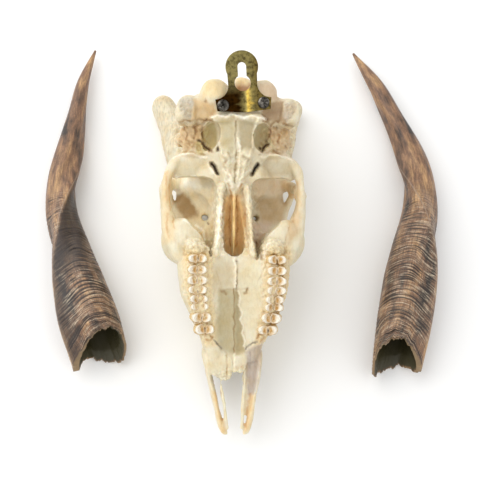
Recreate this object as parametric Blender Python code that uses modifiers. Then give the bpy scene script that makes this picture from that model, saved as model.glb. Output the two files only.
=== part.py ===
"""A bushbuck ram's skull laid upside down, with its two horn sheaths slipped off beside it.

The skull is modelled in its own frame, in millimetres: X across, +Y to the back of
the head, +Z out of the palate. A point's height Z is therefore negative above the
palate in life. It is then tipped so that it rests on its horn cores and nasal bones.
The sheaths are modelled where they lie on the floor.
"""

from math import cos, pi, radians, sin

import bmesh
import bpy
import numpy as np
from mathutils import Matrix, Vector

MM = 0.001
GAP = 0.3

SKULL_LENGTH = 239.0
SKULL_PITCH = radians(23.7)
SKULL_YAW = radians(-1.0)
SKULL_SHIFT = -1.2
CONDYLE_REAR_Y = 123.0
PREMAXILLA_TIP_Y = CONDYLE_REAR_Y - SKULL_LENGTH
NOSE_REST = Vector((0, -72, -43))

REAR_DRIFT = 0.033
FRONT_DRIFT = 0.04

ORBIT_CENTRE = Vector((37, 31, -48))
ORBIT_RIM_RADIUS = 20.0
CORE_BASE_RADIUS = 16.5
CORE_END_RADIUS = 9.0

ROOF_CUT_HEIGHT = 54.0

BONE_VOXEL = 1.25
BONE_TRIANGLES = 8000

TOOTH_ROWS = {
    "third_molar": [(0.9, 26.1, 1.0), (-5.6, 26.3, 1.04)],
    "second_molar": [(-12.5, 26.2, 1.06), (-19.1, 25.9, 1.02)],
    "first_molar": [(-24.9, 24.7, 0.9), (-30.1, 24.3, 0.88)],
    "fourth_premolar": [(-36.4, 22.7, 0.98)],
    "third_premolar": [(-43.7, 20.7, 0.94)],
}
CUSP_SPACING = 6.8
CUSP_TOP = 5.8
CUSP_ROOT = -5.0

HORN_LENGTH = 268.0
LEFT_HORN = [
    (-91, -4, 35.5),
    (-99, 23, 40),
    (-107.5, 51, 36),
    (-115, 79, 29),
    (-122, 107, 25.5),
    (-122.5, 135, 22.5),
    (-118.5, 164, 19),
    (-114.5, 193, 14.5),
    (-111, 224, 9.6),
    (-103, 255, 1.4),
]
RIGHT_HORN = [
    (112.5, -6, 34.5),
    (120, 22, 37.5),
    (127.5, 51, 37.5),
    (134, 79, 33.5),
    (141.5, 108, 29),
    (143, 137, 24.5),
    (138.5, 166, 19.5),
    (129, 196, 15.5),
    (117.5, 227, 11.5),
    (104.5, 256, 1.4),
]
KEEL_TURN = [radians(a) for a in (5, 12, 20, 34, 76, 120, 168, 205, 235, 265, 290)]
KEEL_HEIGHT = 0.26
KEEL_SPREAD = 0.42
SHEATH_BODY = 0.9
SHEATH_WALL = 3.2
SHEATH_SIDES = 18
SHEATH_RINGS = 32
CAVITY_RINGS = 8
CAVITY_DEPTH = 92.0
MOUTH_EDGE = {  # mm along the horn, every 30 degrees from the outer side over the top
    "left": (-1, 9, 16, 18, 18, 12, 5, -2, 1, 4, 8, 8),
    "right": (-3, 8, 14, 12, 7, 0, -12, -12, -6, -1, 3, 0),
}
MOUTH_BLEND = 36.0
HORN_LIFT = 3.0
TIP_LIFT = 7.0

PLATE_THICKNESS = 1.5
PLATE_HALF_WIDTH = 19.0
PLATE_WAIST = 9.8
PLATE_HEAD_RADIUS = 11.0
PLATE_HEIGHT = 41.5
PLATE_FOOT = (5.2, 99, -11.4)
PLATE_LEAN = radians(4.3)
PLATE_FOLD = radians(6.5)
PLATE_FOLD_X = 1.8
KEYHOLE_RADIUS = 5.5
SLOT_WIDTH = 5.8
SCREW_HEAD_RADIUS = 4.0
SCREW_HEAD_HEIGHT = 2.4
SCREW_SHANK_RADIUS = 1.7
SCREW_DEPTH = 7.0
SCREW_SPOTS = {"screw_left": (-14.0, 5.3), "screw_right": (13.3, 5.9)}


def clear_scene():
    for obj in list(bpy.data.objects):
        bpy.data.objects.remove(obj)


def new_collection(name, is_helper=False):
    made = bpy.data.collections.new(name)
    bpy.context.scene.collection.children.link(made)
    made.hide_render = is_helper
    return made


def material(name, colour, roughness, metallic=0.0):
    made = bpy.data.materials.new(name)
    made.use_nodes = True
    shader = made.node_tree.nodes["Principled BSDF"]
    shader.inputs["Base Color"].default_value = (*colour, 1)
    shader.inputs["Roughness"].default_value = roughness
    shader.inputs["Metallic"].default_value = metallic
    return made


def object_from(bm, name, collection):
    """The bmesh, given in millimetres, as an object in metres with its faces outward."""
    bmesh.ops.recalc_face_normals(bm, faces=bm.faces)
    bmesh.ops.scale(bm, vec=Vector((MM, MM, MM)), verts=bm.verts)
    mesh = bpy.data.meshes.new(name)
    bm.to_mesh(mesh)
    bm.free()
    obj = bpy.data.objects.new(name, mesh)
    collection.objects.link(obj)
    return obj


def evaluated_copy(obj):
    bpy.context.view_layer.update()
    graph = bpy.context.evaluated_depsgraph_get()
    return bpy.data.meshes.new_from_object(obj.evaluated_get(graph))


def apply_modifiers(obj):
    mesh = evaluated_copy(obj)
    obj.modifiers.clear()
    obj.data = mesh


def ellipsoid(name, collection, centre, radii, turn=(0, 0, 0), segments=20):
    bm = bmesh.new()
    place = Matrix.Translation(centre)
    for angle, axis in zip(turn, "XYZ"):
        place = place @ Matrix.Rotation(radians(angle), 4, axis)
    place = place @ Matrix.Diagonal((*radii, 1))
    bmesh.ops.create_uvsphere(
        bm, u_segments=segments, v_segments=segments // 2 + 2, radius=1, matrix=place
    )
    return object_from(bm, name, collection)


def loft(name, collection, rings, levels=2):
    """A closed skin over rings of points that all have the same count, then subdivided."""
    bm = bmesh.new()
    rows = [[bm.verts.new(point) for point in ring] for ring in rings]
    count = len(rows[0])
    for near, far in zip(rows, rows[1:]):
        for i in range(count):
            j = (i + 1) % count
            bm.faces.new((near[i], near[j], far[j], far[i]))
    bm.faces.new(rows[0][::-1])
    bm.faces.new(rows[-1])
    obj = object_from(bm, name, collection)
    if levels:
        smooth = obj.modifiers.new("Subdivision", "SUBSURF")
        smooth.levels = levels
        smooth.render_levels = levels
        apply_modifiers(obj)
    return obj


def oval(x, y, z, half_width, half_height, squareness=2.6, count=12):
    """A ring in the XZ plane, rounder at squareness 2 and boxier above it."""
    ring = []
    for i in range(count):
        c, s = cos(2 * pi * i / count), sin(2 * pi * i / count)
        across = half_width * abs(c) ** (2 / squareness) * (1 if c > 0 else -1)
        up = half_height * abs(s) ** (2 / squareness) * (1 if s > 0 else -1)
        ring.append((x + across, y, z + up))
    return ring


def bar(name, collection, stations, squareness=2.6):
    """A tapering bar that runs along Y. A station is (x, y, z, half width, half height)."""
    return loft(name, collection, [oval(*s, squareness) for s in stations], levels=1)


def rod(name, collection, points, is_ring=False):
    """A round bar through (x, y, z, radius) points: a bevelled curve, made a closed mesh."""
    curve = bpy.data.curves.new(name, "CURVE")
    curve.dimensions = "3D"
    curve.bevel_depth = MM
    curve.bevel_resolution = 3
    curve.resolution_u = 6
    curve.use_fill_caps = not is_ring
    spline = curve.splines.new("BEZIER")
    spline.bezier_points.add(len(points) - 1)
    spline.use_cyclic_u = is_ring
    for knot, point in zip(spline.bezier_points, points):
        knot.co = Vector(point[:3]) * MM
        knot.radius = point[3]
        knot.handle_left_type = "AUTO"
        knot.handle_right_type = "AUTO"
    path = bpy.data.objects.new(name, curve)
    collection.objects.link(path)
    bm = bmesh.new()
    bm.from_mesh(evaluated_copy(path))
    bpy.data.objects.remove(path)
    bmesh.ops.remove_doubles(bm, verts=bm.verts, dist=0.01 * MM)
    bmesh.ops.recalc_face_normals(bm, faces=bm.faces)
    mesh = bpy.data.meshes.new(name)
    bm.to_mesh(mesh)
    bm.free()
    made = bpy.data.objects.new(name, mesh)
    collection.objects.link(made)
    return made


def both_sides(make):
    """Calls make with 1 for the right half and -1 for the left."""
    return [make(side) for side in (1, -1)]


def face_and_braincase(group):
    """The main mass, lofted from half outlines that run from palate to crown as (x, height)."""
    outlines = {
        -72: [(0, 3), (7, 2.5), (12, 1), (16, 2), (17.6, 10), (17.6, 20), (15, 29), (10, 38), (0, 42)],
        -58: [(0, 4), (7, 3.5), (13, 1), (18, 2), (19.5, 10), (19.5, 22), (17.5, 33), (11.5, 43), (0, 47)],
        -43: [(0, 5), (8, 4.4), (14.5, -1), (25, -1), (26.5, 8), (25.5, 20), (22, 34), (13.5, 47), (0, 52)],
        -26: [(0, 5.5), (9, 4), (18, -2), (31.5, -2), (36.5, 8), (34.5, 20), (27, 37), (15, 52), (0, 57)],
        -10: [(0, 5.5), (9.5, 4), (19, -2.5), (33, -2.5), (38.5, 9), (37.5, 22), (30, 41), (17, 58), (0, 63)],
        4: [(0, 6), (10, 5), (19, 0), (31, 1), (39, 12), (39.5, 26), (33, 46), (20, 64), (0, 69)],
        17: [(0, 24), (8, 25), (12, 28), (17, 34), (26, 42), (36, 52), (41, 62), (25, 75), (0, 77)],
        34: [(0, 27), (8, 28), (11, 32), (14, 40), (18, 52), (32, 62), (45, 68), (28, 81), (0, 84)],
        50: [(0, 25), (8, 26), (13, 31), (19, 41), (25, 54), (36, 63), (43, 72), (30, 86), (0, 90)],
        65: [(0, 23), (9, 24), (17, 27), (25, 34), (31, 44), (34, 56), (34, 70), (22, 84), (0, 89)],
        80: [(0, 21), (10, 22), (19, 24), (27, 31), (33, 42), (34, 55), (31, 69), (19, 80), (0, 85)],
        95: [(0, 19), (11, 20), (21, 22), (29, 29), (34, 40), (34, 52), (29, 64), (17, 73), (0, 77)],
        108: [(0, 18), (12, 19), (23, 21), (31, 27), (35, 37), (34, 48), (28, 59), (16, 66), (0, 70)],
        117: [(0, 22), (11, 22), (20, 24), (27, 29), (30, 37), (29, 46), (24, 55), (14, 61), (0, 64)],
    }
    bm = bmesh.new()
    rows = [
        [bm.verts.new((x, y, -height)) for x, height in half] for y, half in outlines.items()
    ]
    for near, far in zip(rows, rows[1:]):
        for i in range(len(near) - 1):
            bm.faces.new((near[i], near[i + 1], far[i + 1], far[i]))
    bm.faces.new(rows[0][::-1])
    bm.faces.new(rows[-1])
    half = object_from(bm, "main_mass", group)
    mirror = half.modifiers.new("Other half", "MIRROR")
    mirror.merge_threshold = 0.01 * MM
    smooth = half.modifiers.new("Subdivision", "SUBSURF")
    smooth.levels = 2
    smooth.render_levels = 2
    apply_modifiers(half)


def skull_base(group):
    """The wedge of bone from the condyles forward to the nasal passages."""
    bar(
        "base_wedge",
        group,
        [
            (0, 110, -23, 14.5, 7),
            (0, 101, -21, 17, 7),
            (0, 96, -20.5, 18.5, 7),
            (0, 87, -22.5, 14, 6.5),
            (0, 75, -25.5, 12.5, 6.5),
            (0, 63, -27, 11, 6.5),
            (0, 51, -28, 7, 6),
            (0, 41, -29.5, 3, 5),
        ],
        3.4,
    )

    def paired(side):
        ellipsoid("rear_tubercle", group, (side * 11, 95.5, -15.5), (8, 3.6, 3.6))
        ellipsoid("front_tubercle", group, (side * 6.5, 70, -20.5), (4.6, 8, 3.4), (0, 0, side * -8))
        ellipsoid("condyle", group, (side * 15, 110, -25), (11.2, 13.6, 13), (10, side * 16, side * -24))
        ellipsoid("condyle_root", group, (side * 23, 105, -27), (14, 7.5, 9.5))

    both_sides(paired)
    ellipsoid("rear_knob", group, (3.5, 115.5, -50), (11.5, 13.5, 12))


def ear_region(group, side):
    """The bone round the ear: the sawn-off process behind it and the crest up the back."""
    bar(
        "neck_process",
        group,
        [
            (side * 33, 91, -30, 5, 9),
            (side * 35.5, 94, -25, 7, 11),
            (side * 35.5, 101, -25, 7, 11.5),
            (side * 35, 108, -27, 6.4, 11),
            (side * 33, 112, -31, 4, 7),
        ],
        5.0,
    )
    bar(
        "neck_shelf",
        group,
        [
            (side * 24, 92.5, -30, 8, 6),
            (side * 25, 95, -26, 10, 7.5),
            (side * 26, 102, -27, 10, 8),
            (side * 27, 108, -31, 8, 7),
        ],
        4.0,
    )
    rod(
        "nuchal_crest",
        group,
        [
            (side * 34, 96, -32, 5),
            (side * 36, 99, -44, 4.5),
            (side * 29, 106, -57, 4.2),
            (side * 15, 111, -65, 4),
            (0, 112.5, -67.5, 4),
        ],
    )
    ellipsoid("petrous_bone", group, (side * 30, 85, -35), (8, 12, 8), (0, 0, side * 10))
    rod(
        "ear_canal",
        group,
        [(side * 28, 82, -38, 5), (side * 37, 82, -40, 4.5), (side * 40, 81, -42, 4)],
    )


def jaw_joint(group, side):
    """The smooth bearing for the lower jaw and the root of the cheek arch."""
    ellipsoid("bearing", group, (side * 30, 63, -35), (16.5, 10.5, 6.2), (0, side * -6, 0))
    ellipsoid("bearing_lip", group, (side * 27, 73, -33), (11, 3, 4.5), (0, 0, side * -6))
    ellipsoid("wing_bone", group, (side * 16.5, 56, -33), (10, 10, 9))
    ellipsoid("wing_crest", group, (side * 20, 46, -38), (7, 6, 5), (0, 0, side * 35))


def upper_cheek(group, side):
    """The jaw bone behind the last tooth and the floor of the eye socket."""
    ellipsoid("socket_floor", group, (side * 34, 11, -20), (15, 17, 9), (0, side * 14, side * -30))
    ellipsoid("tooth_root_bulge", group, (side * 26, 7, -9), (6.5, 8, 9), (0, 0, side * -20))


def wing_plate(group, side):
    """The upright plate beside the nasal passage, from the skull base to the palate."""
    bar(
        "wing_plate",
        group,
        [
            (side * 8.5, 53, -30, 3, 10),
            (side * 9.5, 45, -27, 2.6, 10),
            (side * 10.6, 33, -23.5, 2.6, 11.5),
            (side * 11.4, 20, -20.5, 2.8, 13),
            (side * 11.8, 8, -17.5, 3, 14),
            (side * 12, -2, -13.5, 4, 12),
        ],
        3.0,
    )


def cheek_arch(group, side):
    """The arch from the jaw joint forward under the eye, and the strut behind the eye."""
    bar(
        "arch",
        group,
        [
            (side * 38, 70, -33, 5, 4),
            (side * 43.5, 63, -31, 4.4, 4.2),
            (side * 46.4, 54, -29.5, 3, 4.8),
            (side * 47, 43, -28, 3, 6),
            (side * 45.4, 31, -26.5, 4.6, 7),
            (side * 42, 19, -24, 7.4, 8.5),
            (side * 37.5, 7, -20, 8.5, 11),
            (side * 33, -5, -18, 7, 11),
        ],
        2.4,
    )
    rod(
        "eye_strut",
        group,
        [
            (side * 34, 55, -76, 7),
            (side * 42, 53, -64, 4.6),
            (side * 46, 50, -50, 3.6),
            (side * 46.5, 47, -38, 3.8),
            (side * 46.5, 44, -29, 4.6),
        ],
    )


def eye_rim(group, side):
    """The raised rim of the eye socket, as a ring that faces out and a little forward."""
    centre = Vector((side * 43.2, ORBIT_CENTRE.y, ORBIT_CENTRE.z))
    turn = Matrix.Rotation(radians(side * -12), 3, "Z") @ Matrix.Rotation(radians(side * 8), 3, "Y")
    points = []
    for i in range(12):
        angle = 2 * pi * i / 12
        at = centre + turn @ Vector((0, cos(angle), sin(angle))) * ORBIT_RIM_RADIUS
        points.append((*at, 2.9))
    rod("eye_rim", group, points, is_ring=True)


def core_line(side):
    """The horn core's centre line as (x, y, z, radius), from the brow to the blunt end."""
    return [
        (side * 22, 50, -70, CORE_BASE_RADIUS),
        (side * 27, 61, -77, CORE_BASE_RADIUS),
        (side * 32, 74, -87.5, CORE_BASE_RADIUS - 1),
        (side * 38, 90, -100.5, CORE_BASE_RADIUS - 3.4),
        (side * 44, 104, -110, CORE_BASE_RADIUS - 5.6),
        (side * 49.5, 115, -115.5, CORE_END_RADIUS),
    ]


def horn_core(group, side):
    """The bony core that carried the sheath: thick, blunt and swept back and outward."""
    line = core_line(side)
    rod("horn_core", group, line)
    ellipsoid("core_end", group, line[-1][:3], [CORE_END_RADIUS] * 3)


def nose_vault(group):
    """The nasal bones, which reach forward past the jaw as a pointed vault."""
    bar(
        "nasal_bones",
        group,
        [
            (0, 8, -66, 14, 3.4),
            (0, -10, -60.5, 14, 3.2),
            (0, -30, -53.5, 13, 3.0),
            (0, -50, -46.5, 11.5, 2.8),
            (0, -64, -43, 9, 2.8),
            (0, -75, -41.5, 4.5, 2.6),
        ],
        2.2,
    )


def front_jaw(group, side):
    """The premaxilla: an upright plate that thins and dips to a flat toothless tip."""
    bar(
        "premaxilla",
        group,
        [
            (side * 17.3, -58, -19, 3.6, 17),
            (side * 17.6, -68, -18, 2.6, 15.5),
            (side * 16.2, -78, -14.5, 2.0, 12.5),
            (side * 13.8, -88, -11.5, 1.9, 9.8),
            (side * 11.8, -99, -8, 1.9, 6.8),
            (side * 9.6, -108, -5, 2.4, 4.2),
            (side * 7.4, -114, -3.4, 2.8, 2.4),
            (side * 6.4, PREMAXILLA_TIP_Y, -2.6, 1.4, 1.2),
        ],
        3.0,
    )


def palate_front(group):
    """Thin broken plates in front of the palate, the left one longer and with its rod."""
    bar(
        "palate_plate_left",
        group,
        [(-9.3, -62, -3.4, 9.2, 1.5), (-9.2, -72, -3.2, 8.8, 1.2), (-6.4, -80.5, -3, 5.6, 0.9)],
        4.0,
    )
    bar(
        "palate_plate_right",
        group,
        [(8.4, -62, -3.4, 8.6, 1.5), (8, -70, -3.2, 8, 1.2), (5, -75, -3, 4.6, 0.9)],
        4.0,
    )
    bar(
        "palate_shelf_right",
        group,
        [
            (12.5, -60, -6, 6, 1.3),
            (12.2, -72, -6.5, 5.4, 1.3),
            (11.2, -84, -6, 4.2, 1.3),
            (9.6, -96, -5, 3, 1.3),
            (8, -104, -4.2, 2, 1.2),
        ],
        4.0,
    )
    rod(
        "palate_rod_left",
        group,
        [(-9.4, -70, -3.6, 1.3), (-8.6, -84, -3.2, 1.0), (-6.6, -98, -2.8, 1.0), (-5.6, -112, -2.6, 1.4)],
    )
    rod(
        "palate_rod_right",
        group,
        [(8.4, -70, -6, 1.4), (6.8, -84, -4.6, 1.1), (5.6, -98, -3.4, 1.1), (4.6, -112, -2.6, 1.4)],
    )


def midline_plate(group):
    """The thin upright bone that divides the nasal passage."""
    bar(
        "vomer",
        group,
        [(0, 50, -29, 2.4, 7), (0, 36, -28, 1.1, 8), (0, 18, -26, 1.1, 10), (0, 0, -24, 1.1, 10)],
        3.0,
    )


def openings(group):
    """Everything that is hollow: sockets, passages, braincase and the way through each."""

    def paired(side):
        x, y, z = ORBIT_CENTRE
        ellipsoid("socket", group, (side * x, y, z), (22.5, 17.8, 17.5), (0, 0, side * -12))
        ellipsoid("temple", group, (side * 42, 63, -54), (12.5, 16.5, 18), (0, 0, side * 10))
        ellipsoid("ear_gap", group, (side * 17.8, 84, -26), (6.3, 10, 16), (0, 0, side * 12))
        rod("brow_hole", group, [(side * 18, 29, -40, 2.1), (side * 18, 29, -100, 2.1)])
        bar(
            "muscle_gap",
            group,
            [
                (side * 14.4, -1, -20, 1.0, 26),
                (side * 15.4, 6, -20, 2.4, 26),
                (side * 16.6, 12, -20, 3.8, 26),
                (side * 17.8, 18, -20, 5.2, 27),
                (side * 22, 25, -22, 10, 28),
                (side * 24.5, 35, -22, 13, 28),
                (side * 25.8, 45, -22, 14.6, 28),
                (side * 26.5, 53, -26, 14.6, 22),
                (side * 28, 57, -38, 11, 10),
            ],
            4.0,
        )

    both_sides(paired)
    bar(
        "nasal_passage",
        group,
        [
            (0, 46, -20, 4.2, 7),
            (0, 36, -22, 7, 11),
            (0, 20, -20, 7.9, 15),
            (0, 6, -19, 7.8, 15),
            (0, -4, -20, 6.5, 9),
            (0, -12, -20, 5, 7),
        ],
        2.8,
    )
    bar(
        "nose_opening",
        group,
        [
            (0, -96, -23, 13, 17),
            (0, -78, -22.5, 15.5, 16.5),
            (0, -62, -23.5, 17, 17),
            (0, -44, -26, 17, 17),
            (0, -26, -29, 14, 15),
            (0, -14, -31, 8, 9),
        ],
        2.4,
    )
    ellipsoid("brain_space", group, (0, 80, -52), (26, 25, 24))
    rod("spinal_opening", group, [(0, 128, -34, 9.5), (0, 112, -34, 9.5), (0, 94, -42, 10)])


def joined(objects, name):
    """The closed forms as one object, overlaps left for a remesh to merge."""
    bm = bmesh.new()
    for obj in objects:
        bm.from_mesh(obj.data)
        bpy.data.objects.remove(obj)
    mesh = bpy.data.meshes.new(name)
    bm.to_mesh(mesh)
    bm.free()
    return bpy.data.objects.new(name, mesh)


def fuse(obj, voxel):
    remesh = obj.modifiers.new("Fuse", "REMESH")
    remesh.mode = "VOXEL"
    remesh.voxel_size = voxel * MM
    apply_modifiers(obj)


def boolean(obj, operation, others, solver="EXACT"):
    """Applies one Boolean with a collection of closed meshes, which is then removed."""
    cut = obj.modifiers.new(operation.title(), "BOOLEAN")
    cut.operation = operation
    cut.solver = solver
    cut.operand_type = "COLLECTION"
    cut.collection = others
    apply_modifiers(obj)
    for other in list(others.objects):
        bpy.data.objects.remove(other)
    bpy.data.collections.remove(others)


def keep_largest(obj):
    """Drops every closed surface but the largest one."""
    bm = bmesh.new()
    bm.from_mesh(obj.data)
    bm.faces.ensure_lookup_table()
    unseen = set(bm.faces)
    islands = []
    while unseen:
        stack = [unseen.pop()]
        island = set(stack)
        while stack:
            for edge in stack.pop().edges:
                for face in edge.link_faces:
                    if face in unseen:
                        unseen.discard(face)
                        island.add(face)
                        stack.append(face)
        islands.append(island)
    islands.sort(key=lambda faces: sum(face.calc_area() for face in faces))
    scraps = [face for island in islands[:-1] for face in island]
    bmesh.ops.delete(bm, geom=scraps, context="FACES")
    bm.to_mesh(obj.data)
    bm.free()


def drift(y):
    """The slight bend of a natural skull: how far its ends lie off the midline, in mm."""
    return REAR_DRIFT * max(y - 50, 0) + FRONT_DRIFT * max(-62 - y, 0)


def bend(group):
    """Moves every form in the group by the drift, apart from the horn cores."""
    for obj in group.objects:
        if "core" not in obj.name:
            for vert in obj.data.vertices:
                vert.co.x += drift(vert.co.y / MM) * MM


def whole_skull(collection):
    """Every bone of the skull fused into one thinned mesh, before it is parted by name."""
    solid = new_collection("solid_forms", is_helper=True)
    face_and_braincase(solid)
    skull_base(solid)
    nose_vault(solid)
    for side in (1, -1):
        ear_region(solid, side)
        jaw_joint(solid, side)
        upper_cheek(solid, side)
        horn_core(solid, side)
    bend(solid)
    skull = joined(list(solid.objects), "cranium")
    collection.objects.link(skull)
    fuse(skull, BONE_VOXEL)
    hollows = new_collection("hollows", is_helper=True)
    openings(hollows)
    bend(hollows)
    boolean(skull, "DIFFERENCE", hollows, solver="MANIFOLD")
    added = new_collection("added_forms", is_helper=True)
    palate_front(added)
    midline_plate(added)
    for side in (1, -1):
        wing_plate(added, side)
        cheek_arch(added, side)
        eye_rim(added, side)
        front_jaw(added, side)
    bend(added)
    pieces = [skull, *added.objects]
    name = skull.name
    skull = joined(pieces, name)
    skull.name = name
    collection.objects.link(skull)
    fuse(skull, BONE_VOXEL)
    soften = skull.modifiers.new("Soften", "SMOOTH")
    soften.factor = 0.5
    soften.iterations = 3
    apply_modifiers(skull)
    thin = skull.modifiers.new("Thin", "DECIMATE")
    thin.ratio = BONE_TRIANGLES / (2 * len(skull.data.polygons))
    apply_modifiers(skull)
    keep_largest(skull)
    return skull


def block(name, collection, low, high):
    bm = bmesh.new()
    low, high = Vector(low), Vector(high)
    place = Matrix.Translation((low + high) / 2) @ Matrix.Diagonal((*(high - low), 1))
    bmesh.ops.create_cube(bm, size=1, matrix=place)
    return object_from(bm, name, collection)


def core_region(group, side, grow):
    """A wide cylinder round the free length of one horn core."""
    line = core_line(side)
    start, end = Vector(line[2][:3]), Vector(line[4][:3])
    along = (end - start).normalized()
    start = start - along * grow
    length = 70.0
    place = (
        Matrix.Translation(start + along * length / 2)
        @ along.to_track_quat("Z", "X").to_matrix().to_4x4()
    )
    bm = bmesh.new()
    bmesh.ops.create_cone(
        bm,
        cap_ends=True,
        segments=24,
        radius1=18 + grow,
        radius2=18 + grow,
        depth=length,
        matrix=place,
    )
    object_from(bm, "core_region", group)


def nasal_region(group, side, grow):
    """A wedge that holds the roof of the nose, above a plane that rises to the brow."""
    half = 11 + grow
    front, back = -90, 12 + grow
    bm = bmesh.new()
    low = {front: -32.4 + grow, back: -64.2 + grow}
    corners = []
    for y in (front, back):
        for x, z in ((-half, low[y]), (half, low[y]), (half, -100), (-half, -100)):
            corners.append(bm.verts.new((x, y, z)))
    bmesh.ops.convex_hull(bm, input=corners)
    object_from(bm, "nasal_region", group)


def arch_region(group, side, grow):
    x = sorted((side * (38 - grow), side * 70))
    block("arch_region", group, (x[0], 14 - grow, -ROOF_CUT_HEIGHT - grow), (x[1], 58 + grow, -8))


def roof_region(group, side, grow):
    block("roof_region", group, (-80, -20, -150), (80, 140, -ROOF_CUT_HEIGHT + grow))


def occiput_region(group, side, grow):
    block("occiput_region", group, (-80, 92 - grow, -90), (80, 150, 20))


def premaxilla_region(group, side, grow):
    x = sorted((0, side * 40))
    block("premaxilla_region", group, (x[0], -150, -60), (x[1], -82 + grow, 20))


def jaw_region(group, side, grow):
    block("jaw_region", group, (-80, -150, -120), (80, 7 + grow, 30))


def split_off(whole, name, region, side=1):
    """Parts a named bone from the whole with a thin gap, and gives it back as its own object."""
    piece = bpy.data.objects.new(name, whole.data.copy())
    whole.users_collection[0].objects.link(piece)
    inside = new_collection(name + "_inside", is_helper=True)
    region(inside, side, 0)
    boolean(piece, "INTERSECT", inside)
    keep_largest(piece)
    outside = new_collection(name + "_outside", is_helper=True)
    region(outside, side, GAP)
    boolean(whole, "DIFFERENCE", outside)
    return piece


def side_name(side):
    """Left and right as the photographed skull lies, palate up: the viewer's own sides."""
    return "right" if side > 0 else "left"


def part_the_bones(skull):
    bones = {"cranium": skull}
    for side in (1, -1):
        for bone, region in (("horn_core", core_region), ("zygomatic_arch", arch_region)):
            name = f"{bone}_{side_name(side)}"
            bones[name] = split_off(skull, name, region, side)
    bones["occiput"] = split_off(skull, "occiput", occiput_region)
    bones["nasal_bones"] = split_off(skull, "nasal_bones", nasal_region)
    bones["upper_jaw"] = split_off(skull, "upper_jaw", jaw_region)
    bones["frontal_bones"] = split_off(skull, "frontal_bones", roof_region)
    for side in (1, -1):
        name = f"premaxilla_{side_name(side)}"
        bones[name] = split_off(bones["upper_jaw"], name, premaxilla_region, side)
    for bone in bones.values():
        keep_largest(bone)
    return bones


def cusp(group, at, size, lean):
    """One tooth cusp: a six-sided cone with a blunt top, its root sunk in the jaw."""
    bm = bmesh.new()
    height = CUSP_TOP - CUSP_ROOT
    place = (
        Matrix.Translation((at[0], at[1], (CUSP_TOP + CUSP_ROOT) / 2))
        @ Matrix.Rotation(lean, 4, "Y")
        @ Matrix.Diagonal((1.15 * size, 0.92 * size, 1, 1))
    )
    bmesh.ops.create_cone(
        bm, cap_ends=True, segments=6, radius1=4.6, radius2=2.8, depth=height, matrix=place
    )
    object_from(bm, "cusp", group)


def cheek_teeth(jaw):
    """Five teeth on each side from third premolar to third molar, fused to the jaw."""
    teeth = new_collection("teeth", is_helper=True)
    for side in (1, -1):
        for lobes in TOOTH_ROWS.values():
            for y, x, size in lobes:
                for inward in (1, -1):
                    across = side * (x - inward * CUSP_SPACING / 2)
                    cusp(teeth, (across, y), size, radians(-side * inward * 5))
    boolean(jaw, "UNION", teeth)
    keep_largest(jaw)


def plate_outline():
    """Half the hanger's outline from its top down: round head, waist and flared foot."""
    head_y = PLATE_HEIGHT - PLATE_HEAD_RADIUS
    points = []
    for i in range(10):
        angle = pi / 2 - radians(115) * i / 9
        points.append((PLATE_HEAD_RADIUS * cos(angle), head_y + PLATE_HEAD_RADIUS * sin(angle)))
    flare = PLATE_HALF_WIDTH - PLATE_WAIST
    for i in range(7):
        angle = radians(90) * i / 6
        points.append((PLATE_HALF_WIDTH - flare * cos(angle), 18.5 - 9 * sin(angle)))
    points += [(PLATE_HALF_WIDTH - 1, 1.6), (0, 0)]
    return points


def keyhole_outline():
    """The round hole and the slot above it, in one loop."""
    hole_y = 19.7
    top_y = 33.7
    half = SLOT_WIDTH / 2
    meet = (KEYHOLE_RADIUS**2 - half**2) ** 0.5
    start = np.arctan2(meet, half)
    points = []
    for i in range(15):
        angle = start - (2 * pi - (pi - 2 * start)) * i / 14
        points.append((KEYHOLE_RADIUS * cos(angle), hole_y + KEYHOLE_RADIUS * sin(angle)))
    for i in range(7):
        angle = pi - pi * i / 6
        points.append((half * cos(angle), top_y - half + half * sin(angle)))
    return points


def flat_outline(name, collection, loops, thickness):
    """Flat sheet cut to 2D loops: a filled curve with an extrude, made a closed mesh."""
    curve = bpy.data.curves.new(name, "CURVE")
    curve.dimensions = "2D"
    curve.fill_mode = "BOTH"
    curve.extrude = thickness / 2 * MM
    for loop in loops:
        spline = curve.splines.new("POLY")
        spline.points.add(len(loop) - 1)
        spline.use_cyclic_u = True
        for point, (x, y) in zip(spline.points, loop):
            point.co = (x * MM, y * MM, 0, 1)
    sheet = bpy.data.objects.new(name, curve)
    collection.objects.link(sheet)
    mesh = evaluated_copy(sheet)
    bpy.data.objects.remove(sheet)
    bm = bmesh.new()
    bm.from_mesh(mesh)
    bmesh.ops.remove_doubles(bm, verts=bm.verts, dist=0.01 * MM)
    bmesh.ops.triangulate(bm, faces=bm.faces)
    bm.to_mesh(mesh)
    bm.free()
    made = bpy.data.objects.new(name, mesh)
    collection.objects.link(made)
    return made


def plate_place():
    """Where the hanger's foot lies on the condyles, in the skull's frame."""
    return (
        Matrix.Translation(Vector(PLATE_FOOT) * MM)
        @ Matrix.Rotation(PLATE_LEAN, 4, "Z")
        @ Matrix.Rotation(radians(2), 4, "X")
    )


def fold_drop(x, y):
    """How far the right wing of the foot is bent down at a point of the flat plate."""
    fade = min(max((27 - y) / 8, 0), 1)
    return max(x - PLATE_FOLD_X, 0) * np.tan(PLATE_FOLD) * fade


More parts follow.
